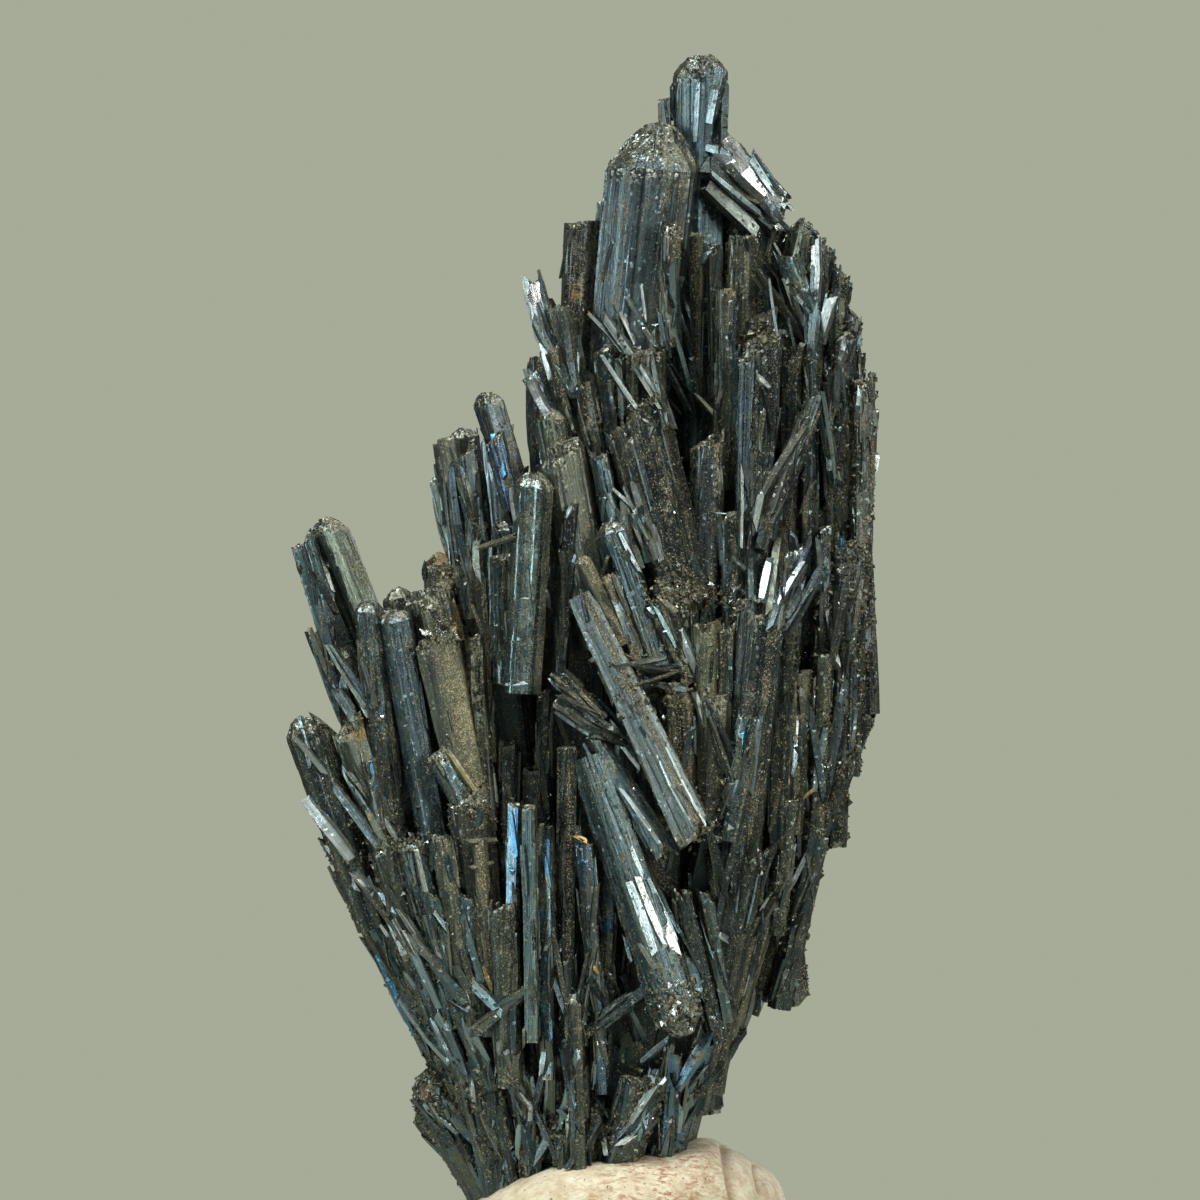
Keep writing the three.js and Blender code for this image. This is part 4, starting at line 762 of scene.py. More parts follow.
# How many values a row has that gives its own taper, how far the grain's frames are strewn, and what keeps
# a section from closing up
LONG_ROW = 8
GRAIN_SCATTER = 60
LEAST_INSET = 0.3
THINNEST_CORE = 0.5
TINY = 1e-6

Ring = namedtuple("Ring", "section far size inset on_end granular")


def crystal_frame(tip, root):
    """The crystal's length, and unit vectors along it, across it and into its depth."""
    length = np.linalg.norm(tip - root)
    along = (tip - root) / length
    across = np.cross((0, 1, 0), along)
    across /= np.linalg.norm(across)
    return length, along, across, np.cross(along, across)


def outline(width, thickness, pitch):
    """Points round the section as shares of its width and thickness, each point's distance round it, and
    whether it is a corner."""
    corners = np.array(LATH_SECTION if width < LATH_WIDTH else PRISM_SECTION)
    points = []
    corner = []
    for start, stop in zip(corners, np.roll(corners, -1, axis=0)):
        count = max(2, round(np.linalg.norm((stop - start) * (width, thickness)) / pitch))
        points += [start + (stop - start) * k / count for k in range(count)]
        corner += [1.0] + [0.0] * (count - 1)
    points = np.array(points)
    steps = np.linalg.norm((np.roll(points, -1, axis=0) - points) * (width, thickness), axis=1)
    return points, np.cumsum(steps) - steps, np.array(corner)


class Strips:
    """The lengthwise strips of a crystal's surface: how deep each lies, how bright its metal is, how dusty it
    is, and at which step it is broken off and how deep."""

    def __init__(self, rng, distance, width):
        base, growth = STRIP_GROWTH
        edges = np.cumsum(rng.uniform(*STRIP_WIDTHS, MOST_STRIPS) * (base + growth * width))
        which = np.searchsorted(edges, distance)
        count = which.max() + 1
        shallow = rng.uniform(0, 1, count) ** GROOVE_POWER * GROOVE_SHARE
        deep = rng.uniform(0, 1, count) < DEEP_GROOVES
        share = np.where(deep, DEEP_GROOVE_SHARE * rng.uniform(0.5, 1, count), shallow)
        self.depth = (share * width)[which]
        calm = min(1.0, max(LEAST_CALM, CALM_WIDTH / width))
        self.bright = (1 + calm * rng.uniform(*STRIP_SHADES, count))[which]
        dust = rng.normal(0, STRIP_DUST, count)
        self.dust = (dust + DUSTY_STRIP * (rng.uniform(0, 1, count) < DUSTY_STRIPS))[which]
        self.broken_at = rng.integers(0, BREAKS + UNBROKEN, count)[which]
        self.broken_by = (rng.uniform(*BREAK_DEPTHS, count) * GROOVE_SHARE * width)[which]


def end_back(end, size):
    """How far back from the tip the end lies at a size of the section, as a share of the width."""
    return end["back"] * size ** end["curve"]


def cap_sizes(end, width):
    """Sizes of the rings across the end, from its edge to its middle."""
    count = max(FEWEST_CAP_RINGS, math.ceil(0.5 * width / CAP_PITCH))
    shares = np.linspace(1, 0, count + 1)[1:-1]
    return np.sin(shares * math.pi / 2) if end["back"] > 0 else shares


class Crystal:
    """One row of the tables as a solid of its own, with marks along its sides and a broken tip."""

    def __init__(self, row, number, pitch):
        rng = np.random.default_rng(SEED * SEED_STEP + number)
        tip, root, self.width, self.thickness, self.turn, self.end = row[:6]
        self.rng = rng
        self.number = number
        self.taper = row[6] if len(row) == LONG_ROW else ROOT_TAPER
        self.look = row[-1]
        self.root = np.array(root)
        self.length, self.along, self.across, self.depth = crystal_frame(np.array(tip), self.root)
        self.section, distance, self.corner = outline(self.width, self.thickness, pitch)
        self.strips = Strips(rng, distance, self.width)
        self.ripple = rng.uniform(0, RIPPLE, len(self.section))
        self.gain = (1 - self.taper) / self.length
        self.crust = CRUST_BACK * self.width / self.length
        self.fewest = pitch == HEART_PITCH
        self.rounded = self.end["back"] > 0
        self.lean = rng.normal(0, ROUNDED_LEAN, 2) * self.width if self.rounded else np.zeros(2)

        # The tip breaks off at several levels, each nearest to one of these centres of the section
        self.centres = rng.uniform(-0.5, 0.5, (int(rng.integers(*TIP_LEVELS)), 2))
        highest = rng.uniform(0, 1, len(self.centres)) < HIGHEST_SHARE
        levels = np.where(highest, 0.0, rng.uniform(*LEVEL_DEPTHS, len(self.centres)))
        self.levels = levels * self.width * (ROUNDED_LEVELS if self.rounded else 1.0)

    def fallen(self, places):
        """How far the broken tip lies below the whole one at places of the section."""
        nearest = np.argmin(((places[:, None] - self.centres[None]) ** 2).sum(axis=2), axis=1)
        return self.levels[nearest] + np.maximum(places @ self.lean, 0)

    def cut(self, back, u):
        """How far from the root the whole tip lies, at a share of the width across the section."""
        slope = self.end["rise"] * self.width
        shoulder = self.length - back * self.width - 0.5 * abs(slope)
        return (shoulder + slope * u * self.taper) / (1 - slope * u * self.gain)

    def side_shares(self, breaks):
        """Where the rings along the sides lie, as shares of the way from the root to the end."""
        count = FEWEST_RINGS if self.fewest else max(FEWEST_RINGS, round(self.length / RING_SPACING))
        shares = np.linspace(0, 1, count)
        shares[1:-1] += self.rng.uniform(-RING_SCATTER, RING_SCATTER, count - 2) / count
        shares = list(shares) + [1 - self.crust, 1 - INNER_CRUST * self.crust]
        shares += [share + lift for share in breaks for lift in (0, LEDGE / self.length)]
        return sorted(share for share in shares if 0 <= share <= 1)

    def side_rings(self):
        around = len(self.section)
        ends = self.cut(end_back(self.end, 1.0), self.section[:, 0]) - self.fallen(self.section)
        breaks = np.sort(self.rng.uniform(*BREAK_SPAN, BREAKS))
        shares = self.side_shares(breaks)
        grit = self.rng.uniform(*(ROUNDED_GRIT if self.rounded else BROKEN_GRIT))
        chipping = min(1.0, CHIP_GROWTH * self.width)
        rings = []
        for share in shares:
            lost = np.zeros(around)
            for index, place in enumerate(breaks):
                broken = (self.strips.broken_at == index) & (share > place)
                lost += np.where(broken, self.strips.broken_by, 0)
            chip = self.corner * self.rng.uniform(0, 1, around) ** CHIP_POWER * CHIP * chipping
            inset = self.strips.depth + self.ripple + lost + chip
            near = max(0.0, 1 - (1 - share) / self.crust)
            size = self.taper + self.gain * share * ends
            rings.append(Ring(self.section, share * ends, size, inset, False, grit * near))
        return rings

    def end_rings(self, top_size):
        level = self.strips.depth.mean()
        rings = []
        for size in cap_sizes(self.end, self.width):
            inner = self.section * size
            inset = (level + (self.strips.depth - level) * size ** CAP_FADE) * size
            far = self.cut(end_back(self.end, size), inner[:, 0]) - self.fallen(inner)
            granular = 1 - SMOOTH_SHOULDER * size ** 2 if self.rounded else 1.0
            rings.append(Ring(inner, far, top_size, inset, True, granular))
        return rings

    def roughened(self, ring, flat, radius):
        """A ring's places and distances from the root, where its granular surface has crumbled."""
        base, growth = CAP_GROWTH
        strength = CAP_ROUGHNESS * min(MOST_CAP_GROWTH, base + growth * self.width)
        place = np.column_stack([flat, ring.far])
        rough = np.zeros(len(place))
        for share, scale, shift in CAP_NOISES:
            rough += share * np.abs(value_noise(place, scale, self.number + shift))
        held = ring.granular if ring.on_end else SIDE_ROUGHNESS * ring.granular
        inward = INWARD_ROUGHNESS * strength * rough * ring.granular / np.maximum(radius, THINNEST_CORE)
        return flat * (1 - inward)[:, None], ring.far - strength * rough * held

    def build(self, shells):
        rings = self.side_rings()
        rings += self.end_rings(rings[-1].size)
        angle = math.radians(self.turn)
        turned = np.array([[math.cos(angle), math.sin(angle)], [-math.sin(angle), math.cos(angle)]])
        offset = self.rng.uniform(0, GRAIN_SCATTER, 3)
        points = []
        grain = []
        broken = []
        for ring in rings:
            far = ring.far
            flat = (ring.section * (self.width, self.thickness)) @ turned * ring.size[:, None]
            radius = np.maximum(np.linalg.norm(flat, axis=1), TINY)
            flat = flat * np.maximum(1 - ring.inset / radius, LEAST_INSET)[:, None]
            if ring.granular > 0:
                flat, far = self.roughened(ring, flat, radius)
            sideways = flat[:, :1] * self.across + flat[:, 1:] * self.depth
            points.append(self.root + sideways + far[:, None] * self.along)
            grain.append(np.column_stack([flat, far]) + offset)
            broken.append(np.full(len(flat), ring.granular))
        points = np.concatenate(points + [[self.root], [points[-1].mean(axis=0)]])
        grain = np.concatenate(grain + [[offset], [grain[-1].mean(axis=0)]])
        broken = np.concatenate(broken + [[0.0], [1.0]])
        metal, surface = self.shading(len(rings), broken)
        shells.add(points, ring_faces(len(rings), len(self.section)), grain, metal, surface)

    def shading(self, rings, broken):
        """The metal's colour and the surface values of every point, the two middles last."""
        rng = self.rng
        bright = np.append(np.tile(self.strips.bright, rings), [1, 1])
        dust = np.append(np.tile(self.strips.dust, rings), [0, 0])
        metal = np.array(self.look["metal"]) * rng.uniform(*METAL_RANGE) * rng.uniform(*TINT_RANGE, 3)
        # Each crystal's right side gets more dust: real dust, and partly a painted tan for warm light from the
        # right
        rightward = self.section[:, 0] * math.copysign(1, self.along[2])
        side = np.clip((rightward - DUST_AND_WARM_LIGHT_EDGE) / DUST_AND_WARM_LIGHT_FADE, 0, 1)
        dusty = np.append(np.tile(CLEAN_SIDE + DUST_AND_WARM_LIGHT_SIDE * side, rings), [1, 1])
        surface = np.empty((len(broken), 4))
        surface[:, 0] = np.clip(self.look["dust"] * rng.uniform(*DUST_RANGE) * dusty + dust, 0, 1)
        surface[:, 1] = self.look["tarnish"]
        surface[:, 2] = broken
        surface[:, 3] = self.look["rough"] * rng.uniform(*ROUGH_RANGE)
        return metal * bright[:, None], surface


# Blades and needles are closed four-sided laths with slanted, chipped ends. Each level is a share of the
# length and a size
BLADE_SECTION = np.array([[0.5, -0.5], [0.38, 0.5], [-0.38, 0.5], [-0.5, -0.5]])
BLADE_THICKNESS = 0.5
BLADE_LEVELS = ((0.0, 0.75), (0.4, 1.0), (0.75, 0.95), (1.0, 0.8))
BLADE_BEND = 0.014
BLADE_SLANT = 0.7
WIDEST_SLANT = 0.8
BLADE_METAL_RANGE = (0.8, 1.2)
BLADE_DUST_RANGE = (0.3, 1.1)


def add_blades(shells, starts, stops, widths, outward, looks, rng):
    """A lath from each start to its stop, with its broad side facing outward."""
    along = stops - starts
    length = np.linalg.norm(along, axis=1, keepdims=True)
    along = along / length
    side = np.cross(outward, along)
    side /= np.linalg.norm(side, axis=1, keepdims=True)
    up = np.cross(along, side)
    count = len(starts)
    levels = len(BLADE_LEVELS)
    corners = len(BLADE_SECTION)
    each = levels * corners
    bend = rng.normal(0, BLADE_BEND, (count, 1)) * length
    sway = rng.normal(0, BLADE_BEND, (count, 1)) * length
    slant = np.minimum(widths, WIDEST_SLANT)[:, None]
    points = np.empty((count, each, 3))
    local = np.zeros((count, each, 3))
    for level, (share, size) in enumerate(BLADE_LEVELS):
        arch = 1 - (2 * share - 1) ** 2
        middle = starts + along * length * share + (up * bend + side * sway) * arch
        ending = level in (0, levels - 1)
        for corner, (u, v) in enumerate(BLADE_SECTION):
            slide = rng.uniform(-BLADE_SLANT, BLADE_SLANT, (count, 1)) * slant if ending else 0.0
            wide = u * size * widths[:, None]
            thick = v * size * BLADE_THICKNESS * widths[:, None]
            points[:, level * corners + corner] = middle + side * wide + up * thick + along * slide
            local[:, level * corners + corner] = np.column_stack([wide, thick, length * share])
    faces = []
    for level in range(levels - 1):
        for corner in range(corners):
            a = level * corners + corner
            b = level * corners + (corner + 1) % corners
            faces += [(a, b, b + corners), (a, b + corners, a + corners)]
    last = each - corners
    faces += [(0, 2, 1), (0, 3, 2), (last, last + 1, last + 2), (last, last + 2, last + 3)]
    faces = np.array(faces)[None] + (np.arange(count) * each)[:, None, None]
    local += rng.uniform(0, GRAIN_SCATTER, (count, 1, 3))
    metal = np.array([look["metal"] for look in looks]) * rng.uniform(*BLADE_METAL_RANGE, (count, 1))
    metal = np.repeat(metal, each, axis=0)
    surface = np.array([[look["dust"], look["tarnish"], 0.0, look["rough"]] for look in looks])
    surface[:, 0] *= rng.uniform(*BLADE_DUST_RANGE, count)
    surface = np.repeat(surface, each, axis=0)
    shells.add(points.reshape(-1, 3), faces.reshape(-1, 3), local.reshape(-1, 3), metal, surface)


# Places on the front of the cluster's solid, found by looking along +Y from here
FRONT_START = -40.0
FORWARD = Vector((0, 1, 0))

# Blades on the front: how steeply they may lean back, and how far they stand off what bulges under them
DEEPEST_LEAN = 0.7
LIFT = 0.02
FREE_BULGE = 0.4
MOST_BULGE = 1.0


def skin_tree():
    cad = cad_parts["crystal_cluster"].data
    corners = [vertex.co / MM for vertex in cad.vertices]
    return BVHTree.FromPolygons(corners, [polygon.vertices for polygon in cad.polygons])


def front_depth(tree, x, z):
    hit = tree.ray_cast(Vector((x, FRONT_START, z)), FORWARD)[0]
    return None if hit is None else hit.y


def laid_on_front(tree, start, stop, whole):
    """Both ends of a blade on the front of the spray, or None where it has too little to lie on."""
    depths = [front_depth(tree, *start), front_depth(tree, *stop)]
    known = [depth for depth in depths if depth is not None]
    if len(known) < (2 if whole else 1):
        return None
    depths = [min(known) if depth is None else depth for depth in depths]
    reach = DEEPEST_LEAN * math.dist(start, stop)
    nearest = min(depths)
    depths = [min(depth, nearest + reach) for depth in depths]
    middle = front_depth(tree, (start[0] + stop[0]) / 2, (start[1] + stop[1]) / 2)
    if middle is not None:
        bulge = max(0.0, sum(depths) / 2 - middle - FREE_BULGE)
        depths = [depth - min(bulge, MOST_BULGE) for depth in depths]
    return [np.array([x, depth - LIFT, z]) for (x, z), depth in zip((start, stop), depths)]


# Blades of a fan: how unevenly they are turned and spread, how long and wide they are as shares of the fan's
# own values, how many have its own look, and the other looks and facings
FAN_UNEVEN = 7
FAN_SCATTER = 0.7
FAN_LENGTHS = (0.35, 1.05)
FAN_WIDTHS = (0.6, 2.0)
FAN_OWN_LOOK = 0.45
FAN_LOOKS = (PALE_AND_SHEEN, DARK, OLIVE, GREY, DARK)
FAN_FACINGS = (LEFTWARD, RIGHTWARD, LEFTWARD, UPWARD)


def fan_rows(rng):
    """The blades of all fans: start, stop, width, look and facing."""
    rows = []
    for (x, z), aim, spread, length, count, width, look in FANS:
        for k in range(count):
            uneven = rng.normal(0, FAN_UNEVEN)
            turn = math.radians(aim + spread * (k / (count - 1) - 0.5) + uneven)
            far = length * rng.uniform(*FAN_LENGTHS)
            start = (x + rng.normal(0, FAN_SCATTER), z + rng.normal(0, FAN_SCATTER))
            stop = (start[0] + far * math.sin(turn), start[1] + far * math.cos(turn))
            own = rng.uniform() < FAN_OWN_LOOK
            chosen = look if own else FAN_LOOKS[int(rng.integers(len(FAN_LOOKS)))]
            facing = FAN_FACINGS[k % len(FAN_FACINGS)]
            rows.append((start, stop, width * rng.uniform(*FAN_WIDTHS), chosen, facing))
    return rows


def add_front_blades(shells, tree, rng):
    """The blades, fans and plates that the photograph shows on the front."""
    laid = []
    for rows, whole in ((BLADES, False), (fan_rows(rng), True)):
        for start, stop, width, look, facing in rows:
            ends = laid_on_front(tree, start, stop, whole)
            if ends is not None:
                laid.append((*ends, width, look, facing))
    starts, stops, widths, looks, outward = zip(*laid, *PLATES)
    add_blades(shells, np.array(starts), np.array(stops), np.array(widths), np.array(outward), looks, rng)


# A place is exposed where it is this near to the cluster's outer skin
EXPOSED = 0.2
LEAST_AREA = 1e-9


def exposed_places(shells, tree, count, rng):
    """Random places on the outer skin: points, normals and the index of a corner of each one's face."""
    points = np.concatenate(shells.points)
    faces = np.concatenate(shells.faces)
    corners = points[faces]
    cross = np.cross(corners[:, 1] - corners[:, 0], corners[:, 2] - corners[:, 0])
    area = np.linalg.norm(cross, axis=1)
    chosen = rng.choice(len(faces), count, p=area / area.sum())
    weights = rng.dirichlet((1, 1, 1), count)
    places = (corners[chosen] * weights[:, :, None]).sum(axis=1)
    normals = cross[chosen] / np.maximum(area[chosen], LEAST_AREA)[:, None]
    near = np.array([tree.find_nearest(Vector(place))[3] < EXPOSED for place in places])
    return places[near], normals[near], faces[chosen[near], 0]


# Grains are octahedra: three arms and their opposites, of uneven length
GRAIN_ARMS = (0.6, 1.3)
GRAIN_FACES = np.array([
    (0, 1, 2), (1, 3, 2), (3, 4, 2), (4, 0, 2),
    (1, 0, 5), (3, 1, 5), (4, 3, 5), (0, 4, 5),
])
GRAIN_CORNERS = 6
GRAIN_SHIFT = 31.0


def add_grains(shells, places, sizes, flatness, metal, surface, rng):
    """Small irregular grains or flakes, each a closed octahedron."""
    count = len(places)
    axes = np.linalg.qr(rng.normal(0, 1, (count, 3, 3)))[0]
    arms = axes * np.array([1.0, 1.0, flatness])[None, :, None]
    uneven = rng.uniform(*GRAIN_ARMS, (count, GRAIN_CORNERS, 1))
    arms = np.concatenate([arms, -arms], axis=1) * uneven * sizes[:, None, None]
    flipped = np.linalg.det(axes) < 0
    faces = np.where(flipped[:, None, None], GRAIN_FACES[None, :, ::-1], GRAIN_FACES[None])
    faces = faces + (np.arange(count) * GRAIN_CORNERS)[:, None, None]
    points = (places[:, None] + arms).reshape(-1, 3)
    metal = np.repeat(metal, GRAIN_CORNERS, axis=0)
    surface = np.repeat(surface, GRAIN_CORNERS, axis=0)
    shells.add(points, faces.reshape(-1, 3), points + GRAIN_SHIFT, metal, surface)


# Splinters: how many, how far they tilt, their sizes in millimetres, and the share of them on wide crystals
SPLINTERS = 6000
SPLINTER_LOOKS = (BLUE, DARK, GREY, OLIVE, PALE_AND_SHEEN, BLUE, DARK, GREY, TAN, OLIVE)
SPLINTER_TILT = 0.16
SPLINTER_LENGTHS = (0.8, 4.2)
SPLINTER_WIDTHS = (0.14, 0.6)
SPLINTER_HEIGHTS = (-0.12, 0.10)
WIDE_CRYSTAL = 2.5
WIDE_SHARE = 0.12

# No splinter's end is further than this from the skin, and none comes nearer than this to the box
PROUDEST = 0.32
BOX_GAP = 0.6

# The back has more splinters, and larger ones
BACK_START = 2.5
BACK_SHARE = 0.8
BACK_RANK = 26000
BACK_TILT = 1.5
BACK_LENGTH = 1.7
BACK_WIDTH = 1.6


def add_splinters(skin, tree, material, rng):
    """Thin blades all over the skin, roughly along the crystal that carries them."""
    rank = np.arange(len(skin[0]))
    chosen = (rank < SPLINTERS) | ((skin[0][:, 1] > BACK_START) & (rank < BACK_RANK))
    at, facing, carrier = (rows[chosen] for rows in skin)
    share = np.where(at[:, 1] > BACK_START, BACK_SHARE, WIDE_SHARE)
    kept = (carrier[:, 3] < WIDE_CRYSTAL) | (rng.uniform(0, 1, len(at)) < share)
    at, facing, along = at[kept], facing[kept], carrier[kept, :3]
    behind = (at[:, 1] > BACK_START)[:, None]
    along = along + rng.normal(0, SPLINTER_TILT, along.shape) * np.where(behind, BACK_TILT, 1)
    along -= facing * (along * facing).sum(axis=1, keepdims=True)
    along /= np.linalg.norm(along, axis=1, keepdims=True)
    larger = np.where(behind, BACK_WIDTH, 1)
    length = rng.uniform(*SPLINTER_LENGTHS, (len(at), 1)) * np.where(behind, BACK_LENGTH, 1)
    widths = rng.uniform(*SPLINTER_WIDTHS, len(at)) * larger[:, 0]
    middle = at + facing * rng.uniform(*SPLINTER_HEIGHTS, (len(at), 1)) * larger
    starts, stops = middle - along * length / 2, middle + along * length / 2
    inside = (np.minimum(starts, stops) > BOX_LOW + BOX_GAP).all(axis=1)
    inside &= (np.maximum(starts, stops) < BOX_HIGH - BOX_GAP).all(axis=1)
    for ends in (starts, stops):
        inside &= np.array([tree.find_nearest(Vector(end))[3] < PROUDEST for end in ends])
    starts, stops, widths, facing = starts[inside], stops[inside], widths[inside], facing[inside]
    looks = [SPLINTER_LOOKS[k] for k in rng.integers(0, len(SPLINTER_LOOKS), len(starts))]
    shells = Shells()
    add_blades(shells, starts, stops, widths, facing, looks, rng)
    shells.build("splinters", material, SPRAY)


# Dust grains, then flakes: how many, their sizes in millimetres, thickness and height above the skin, their
# colour, how far its brightness varies, and their surface values
DUST = [
    {"count": 13000, "sizes": (0.03, 0.08), "flat": 0.8, "above": 0.02, "metal": (0.36, 0.33, 0.22),
     "shades": (0.3, 1.8), "surface": (0.7, 0.0, 0.6, 0.35)},
    {"count": 1500, "sizes": (0.06, 0.20), "flat": 0.3, "above": 0.0, "metal": (0.56, 0.60, 0.60),
     "shades": (0.2, 1.25), "surface": (0.05, 0.1, 0.0, 0.25)},
]


def add_dust(skin, material, rng):
    """Grains and flakes on the skin. Returns how many of its places are used up."""
    shells = Shells()
    first = SPLINTERS
    for kind in DUST:
        at, facing, _ = (rows[first:first + kind["count"]] for rows in skin)
        first += kind["count"]
        sizes = rng.uniform(*kind["sizes"], len(at))
        metal = np.tile(kind["metal"], (len(at), 1)) * rng.uniform(*kind["shades"], (len(at), 1))
        surface = np.tile(kind["surface"], (len(at), 1))
        add_grains(shells, at + facing * kind["above"], sizes, kind["flat"], metal, surface, rng)
    shells.build("dust_grains", material, SPRAY)
    return first


# Crumbled places: middle as [x, z], half size as [across, up], how many chunks and the share of bright ones,
# which stand for glints as painted highlights
RUBBLE = [
    [[-11.2, 50.2], [1.5, 1.3], 130, 0.06],
    [[5.2, 48.6], [3.0, 2.2], 420, 0.06],
    [[1.4, 61.6], [2.4, 1.0], 150, 0.06],
    [[17.2, 47.0], [1.4, 6.0], 420, 0.06],
    [[17.4, 60.0], [1.0, 7.0], 150, 0.04],
    [[12.6, 45.6], [1.2, 3.4], 150, 0.06],
    [[-9.2, 14.6], [2.4, 1.8], 260, 0.06],
    [[-3.8, 12.4], [2.6, 2.0], 240, 0.06],
    [[2.4, 13.6], [2.2, 1.8], 160, 0.06],
    [[11.4, 27.4], [1.8, 3.6], 260, 0.06],
    [[-14.6, 31.6], [2.6, 1.0], 140, 0.06],
    [[-18.8, 40.0], [2.4, 0.8], 110, 0.06],
    [[10.8, 74.2], [3.4, 0.9], 160, 0.06],
    [[10.4, 66.8], [1.6, 1.0], 110, 0.06],
    [[-9.0, 33.6], [1.6, 1.4], 110, 0.06],
    [[3.2, 42.6], [3.2, 3.0], 260, 0.06],
    [[14.6, 38.0], [2.0, 5.0], 260, 0.06],
    [[7.0, 33.0], [1.6, 4.0], 160, 0.06],
    [[-12.2, 14.0], [1.8, 2.0], 110, 0.06],
    [[-7.0, 9.8], [3.6, 2.0], 260, 0.04],
    [[1.6, 11.4], [3.0, 2.0], 240, 0.06],
    [[4.7, 20.3], [2.0, 1.8], 230, 0.55],
    [[-11.4, 46.0], [1.6, 0.6], 60, 0.5],
    [[8.8, 48.4], [1.2, 1.4], 70, 0.4],
]

# Chunks: sizes in millimetres, with how much bright ones add, thickness, how deep they sit and their looks
CHUNK_LEAST = 0.09
CHUNK_RANGE = 0.28
CHUNK_HIGHLIGHT_RANGE = 0.3
CHUNK_POWER = 2.4
CHUNK_FLAT = 0.7
CHUNK_SINK = 0.35
CHUNK_SHADES = (0.7, 1.4)
CHUNK_METALS = ((0.05, 0.055, 0.045), (0.08, 0.08, 0.055), (0.15, 0.14, 0.09), (0.06, 0.08, 0.085))
# Bright chunks are a lighter copy of the metal that stands for glints: painted highlights
HIGHLIGHT_CHUNK = (0.60, 0.64, 0.63)
DULL_CHUNK_SURFACE = (0.5, 0.1, 0.35, 0.34)
HIGHLIGHT_CHUNK_SURFACE = (0.06, 0.1, 0.0, 0.20)
EDGE_MARGIN = 0.3


def add_rubble(shells, tree, rng):
    """Chunks of broken crystal that lie between the crystals, as the photograph shows them on the front."""
    at, sizes, metal, surface = [], [], [], []
    for (x, z), (across, up), count, bright in RUBBLE:
        for place in rng.normal((x, z), (across / 2, up / 2), (count, 2)):
            sides = (place[0] - EDGE_MARGIN, place[0] + EDGE_MARGIN)
            near = [front_depth(tree, side, place[1] + EDGE_MARGIN) for side in sides]
            depth = front_depth(tree, *place)
            if None in (depth, *near):
                continue
            size = CHUNK_LEAST + (CHUNK_RANGE + CHUNK_HIGHLIGHT_RANGE * bright) * rng.uniform() ** CHUNK_POWER
            at.append((place[0], depth + CHUNK_SINK * size, place[1]))
            sizes.append(size)
            plain = CHUNK_METALS[int(rng.integers(len(CHUNK_METALS)))]
            shines = rng.uniform() < bright
            metal.append(HIGHLIGHT_CHUNK if shines else plain)
            surface.append(HIGHLIGHT_CHUNK_SURFACE if shines else DULL_CHUNK_SURFACE)
    metal = np.array(metal) * rng.uniform(*CHUNK_SHADES, (len(at), 1))
    add_grains(shells, np.array(at), np.array(sizes), CHUNK_FLAT, metal, np.array(surface), rng)


# Crumbs roughen the outline: right of one line, left of another up to a height, on what faces sideways
ROUGH_RIGHT = 13.5
FARTHEST_CRUMB = 18.55
ROUGH_LEFT = -10.5
ROUGH_LEFT_TOP = 34
SIDEWAYS = 0.6
CRUMB_LEAST = 0.07
CRUMB_RANGE = 0.26
CRUMB_POWER = 2.5
CRUMB_SHADES = (0.6, 2.2)
CRUMB_SURFACE = (0.4, 0.1, 0.3, 0.30)


def add_crumbs(shells, at, facing, rng):
    rough_edge = (at[:, 0] > ROUGH_RIGHT) | ((at[:, 0] < ROUGH_LEFT) & (at[:, 2] < ROUGH_LEFT_TOP))
    rough_edge &= (np.abs(facing[:, 0]) > SIDEWAYS) & (at[:, 0] < FARTHEST_CRUMB)
    at = at[rough_edge]
    sizes = CRUMB_LEAST + CRUMB_RANGE * rng.uniform(0, 1, len(at)) ** CRUMB_POWER
    metal = np.array(CHUNK_METALS)[rng.integers(0, len(CHUNK_METALS), len(at))]
    metal = metal * rng.uniform(*CRUMB_SHADES, (len(at), 1))
    add_grains(shells, at, sizes, CHUNK_FLAT, metal, np.tile(CRUMB_SURFACE, (len(at), 1)), rng)


GROUPS = {
    "spray_heart": HEART,
    "spray_back": BACK,
    "spray_summit": SUMMIT,
    "spray_upper_right": UPPER_RIGHT,
    "spray_middle": MIDDLE_LEFT,
    "spray_left": LEFT_SIDE,
    "spray_lower_front": LOWER_FRONT + ACROSS_FRONT,
    "spray_lower_right": LOWER_RIGHT,
    "spray_foot": FOOT,
}
PITCHES = {"spray_heart": HEART_PITCH, "spray_back": BACK_PITCH}
PLACES_EACH = 14000


def dress(material):
    """All the crystals, then the blades, splinters, flakes, grains and chunks that lie on them."""
    rng = np.random.default_rng(SEED)
    tree = skin_tree()
    number = 0
    places, normals, carriers = [], [], []
    for name, rows in GROUPS.items():
        shells = Shells()
        along = []
        for row in rows:
            number += 1
            crystal = Crystal(row, number, PITCHES.get(name, PITCH))
            crystal.build(shells)
            along.append(np.tile((*crystal.along, crystal.width), (len(shells.points[-1]), 1)))
        shells.build(name, material, SPRAY)
        found, facing, first = exposed_places(shells, tree, PLACES_EACH, rng)
        places.append(found)
        normals.append(facing)
        carriers.append(np.concatenate(along)[first])
    places = np.concatenate(places)
    order = rng.permutation(len(places))
    skin = (places[order], np.concatenate(normals)[order], np.concatenate(carriers)[order])
    shells = Shells()
    add_front_blades(shells, tree, rng)
    shells.build("front_blades", material, SPRAY)
    add_splinters(skin, tree, material, rng)
    used = add_dust(skin, material, rng)
    shells = Shells()
    add_crumbs(shells, skin[0][used:], skin[1][used:], rng)
    add_rubble(shells, tree, rng)
    shells.build("rubble", material, SPRAY)


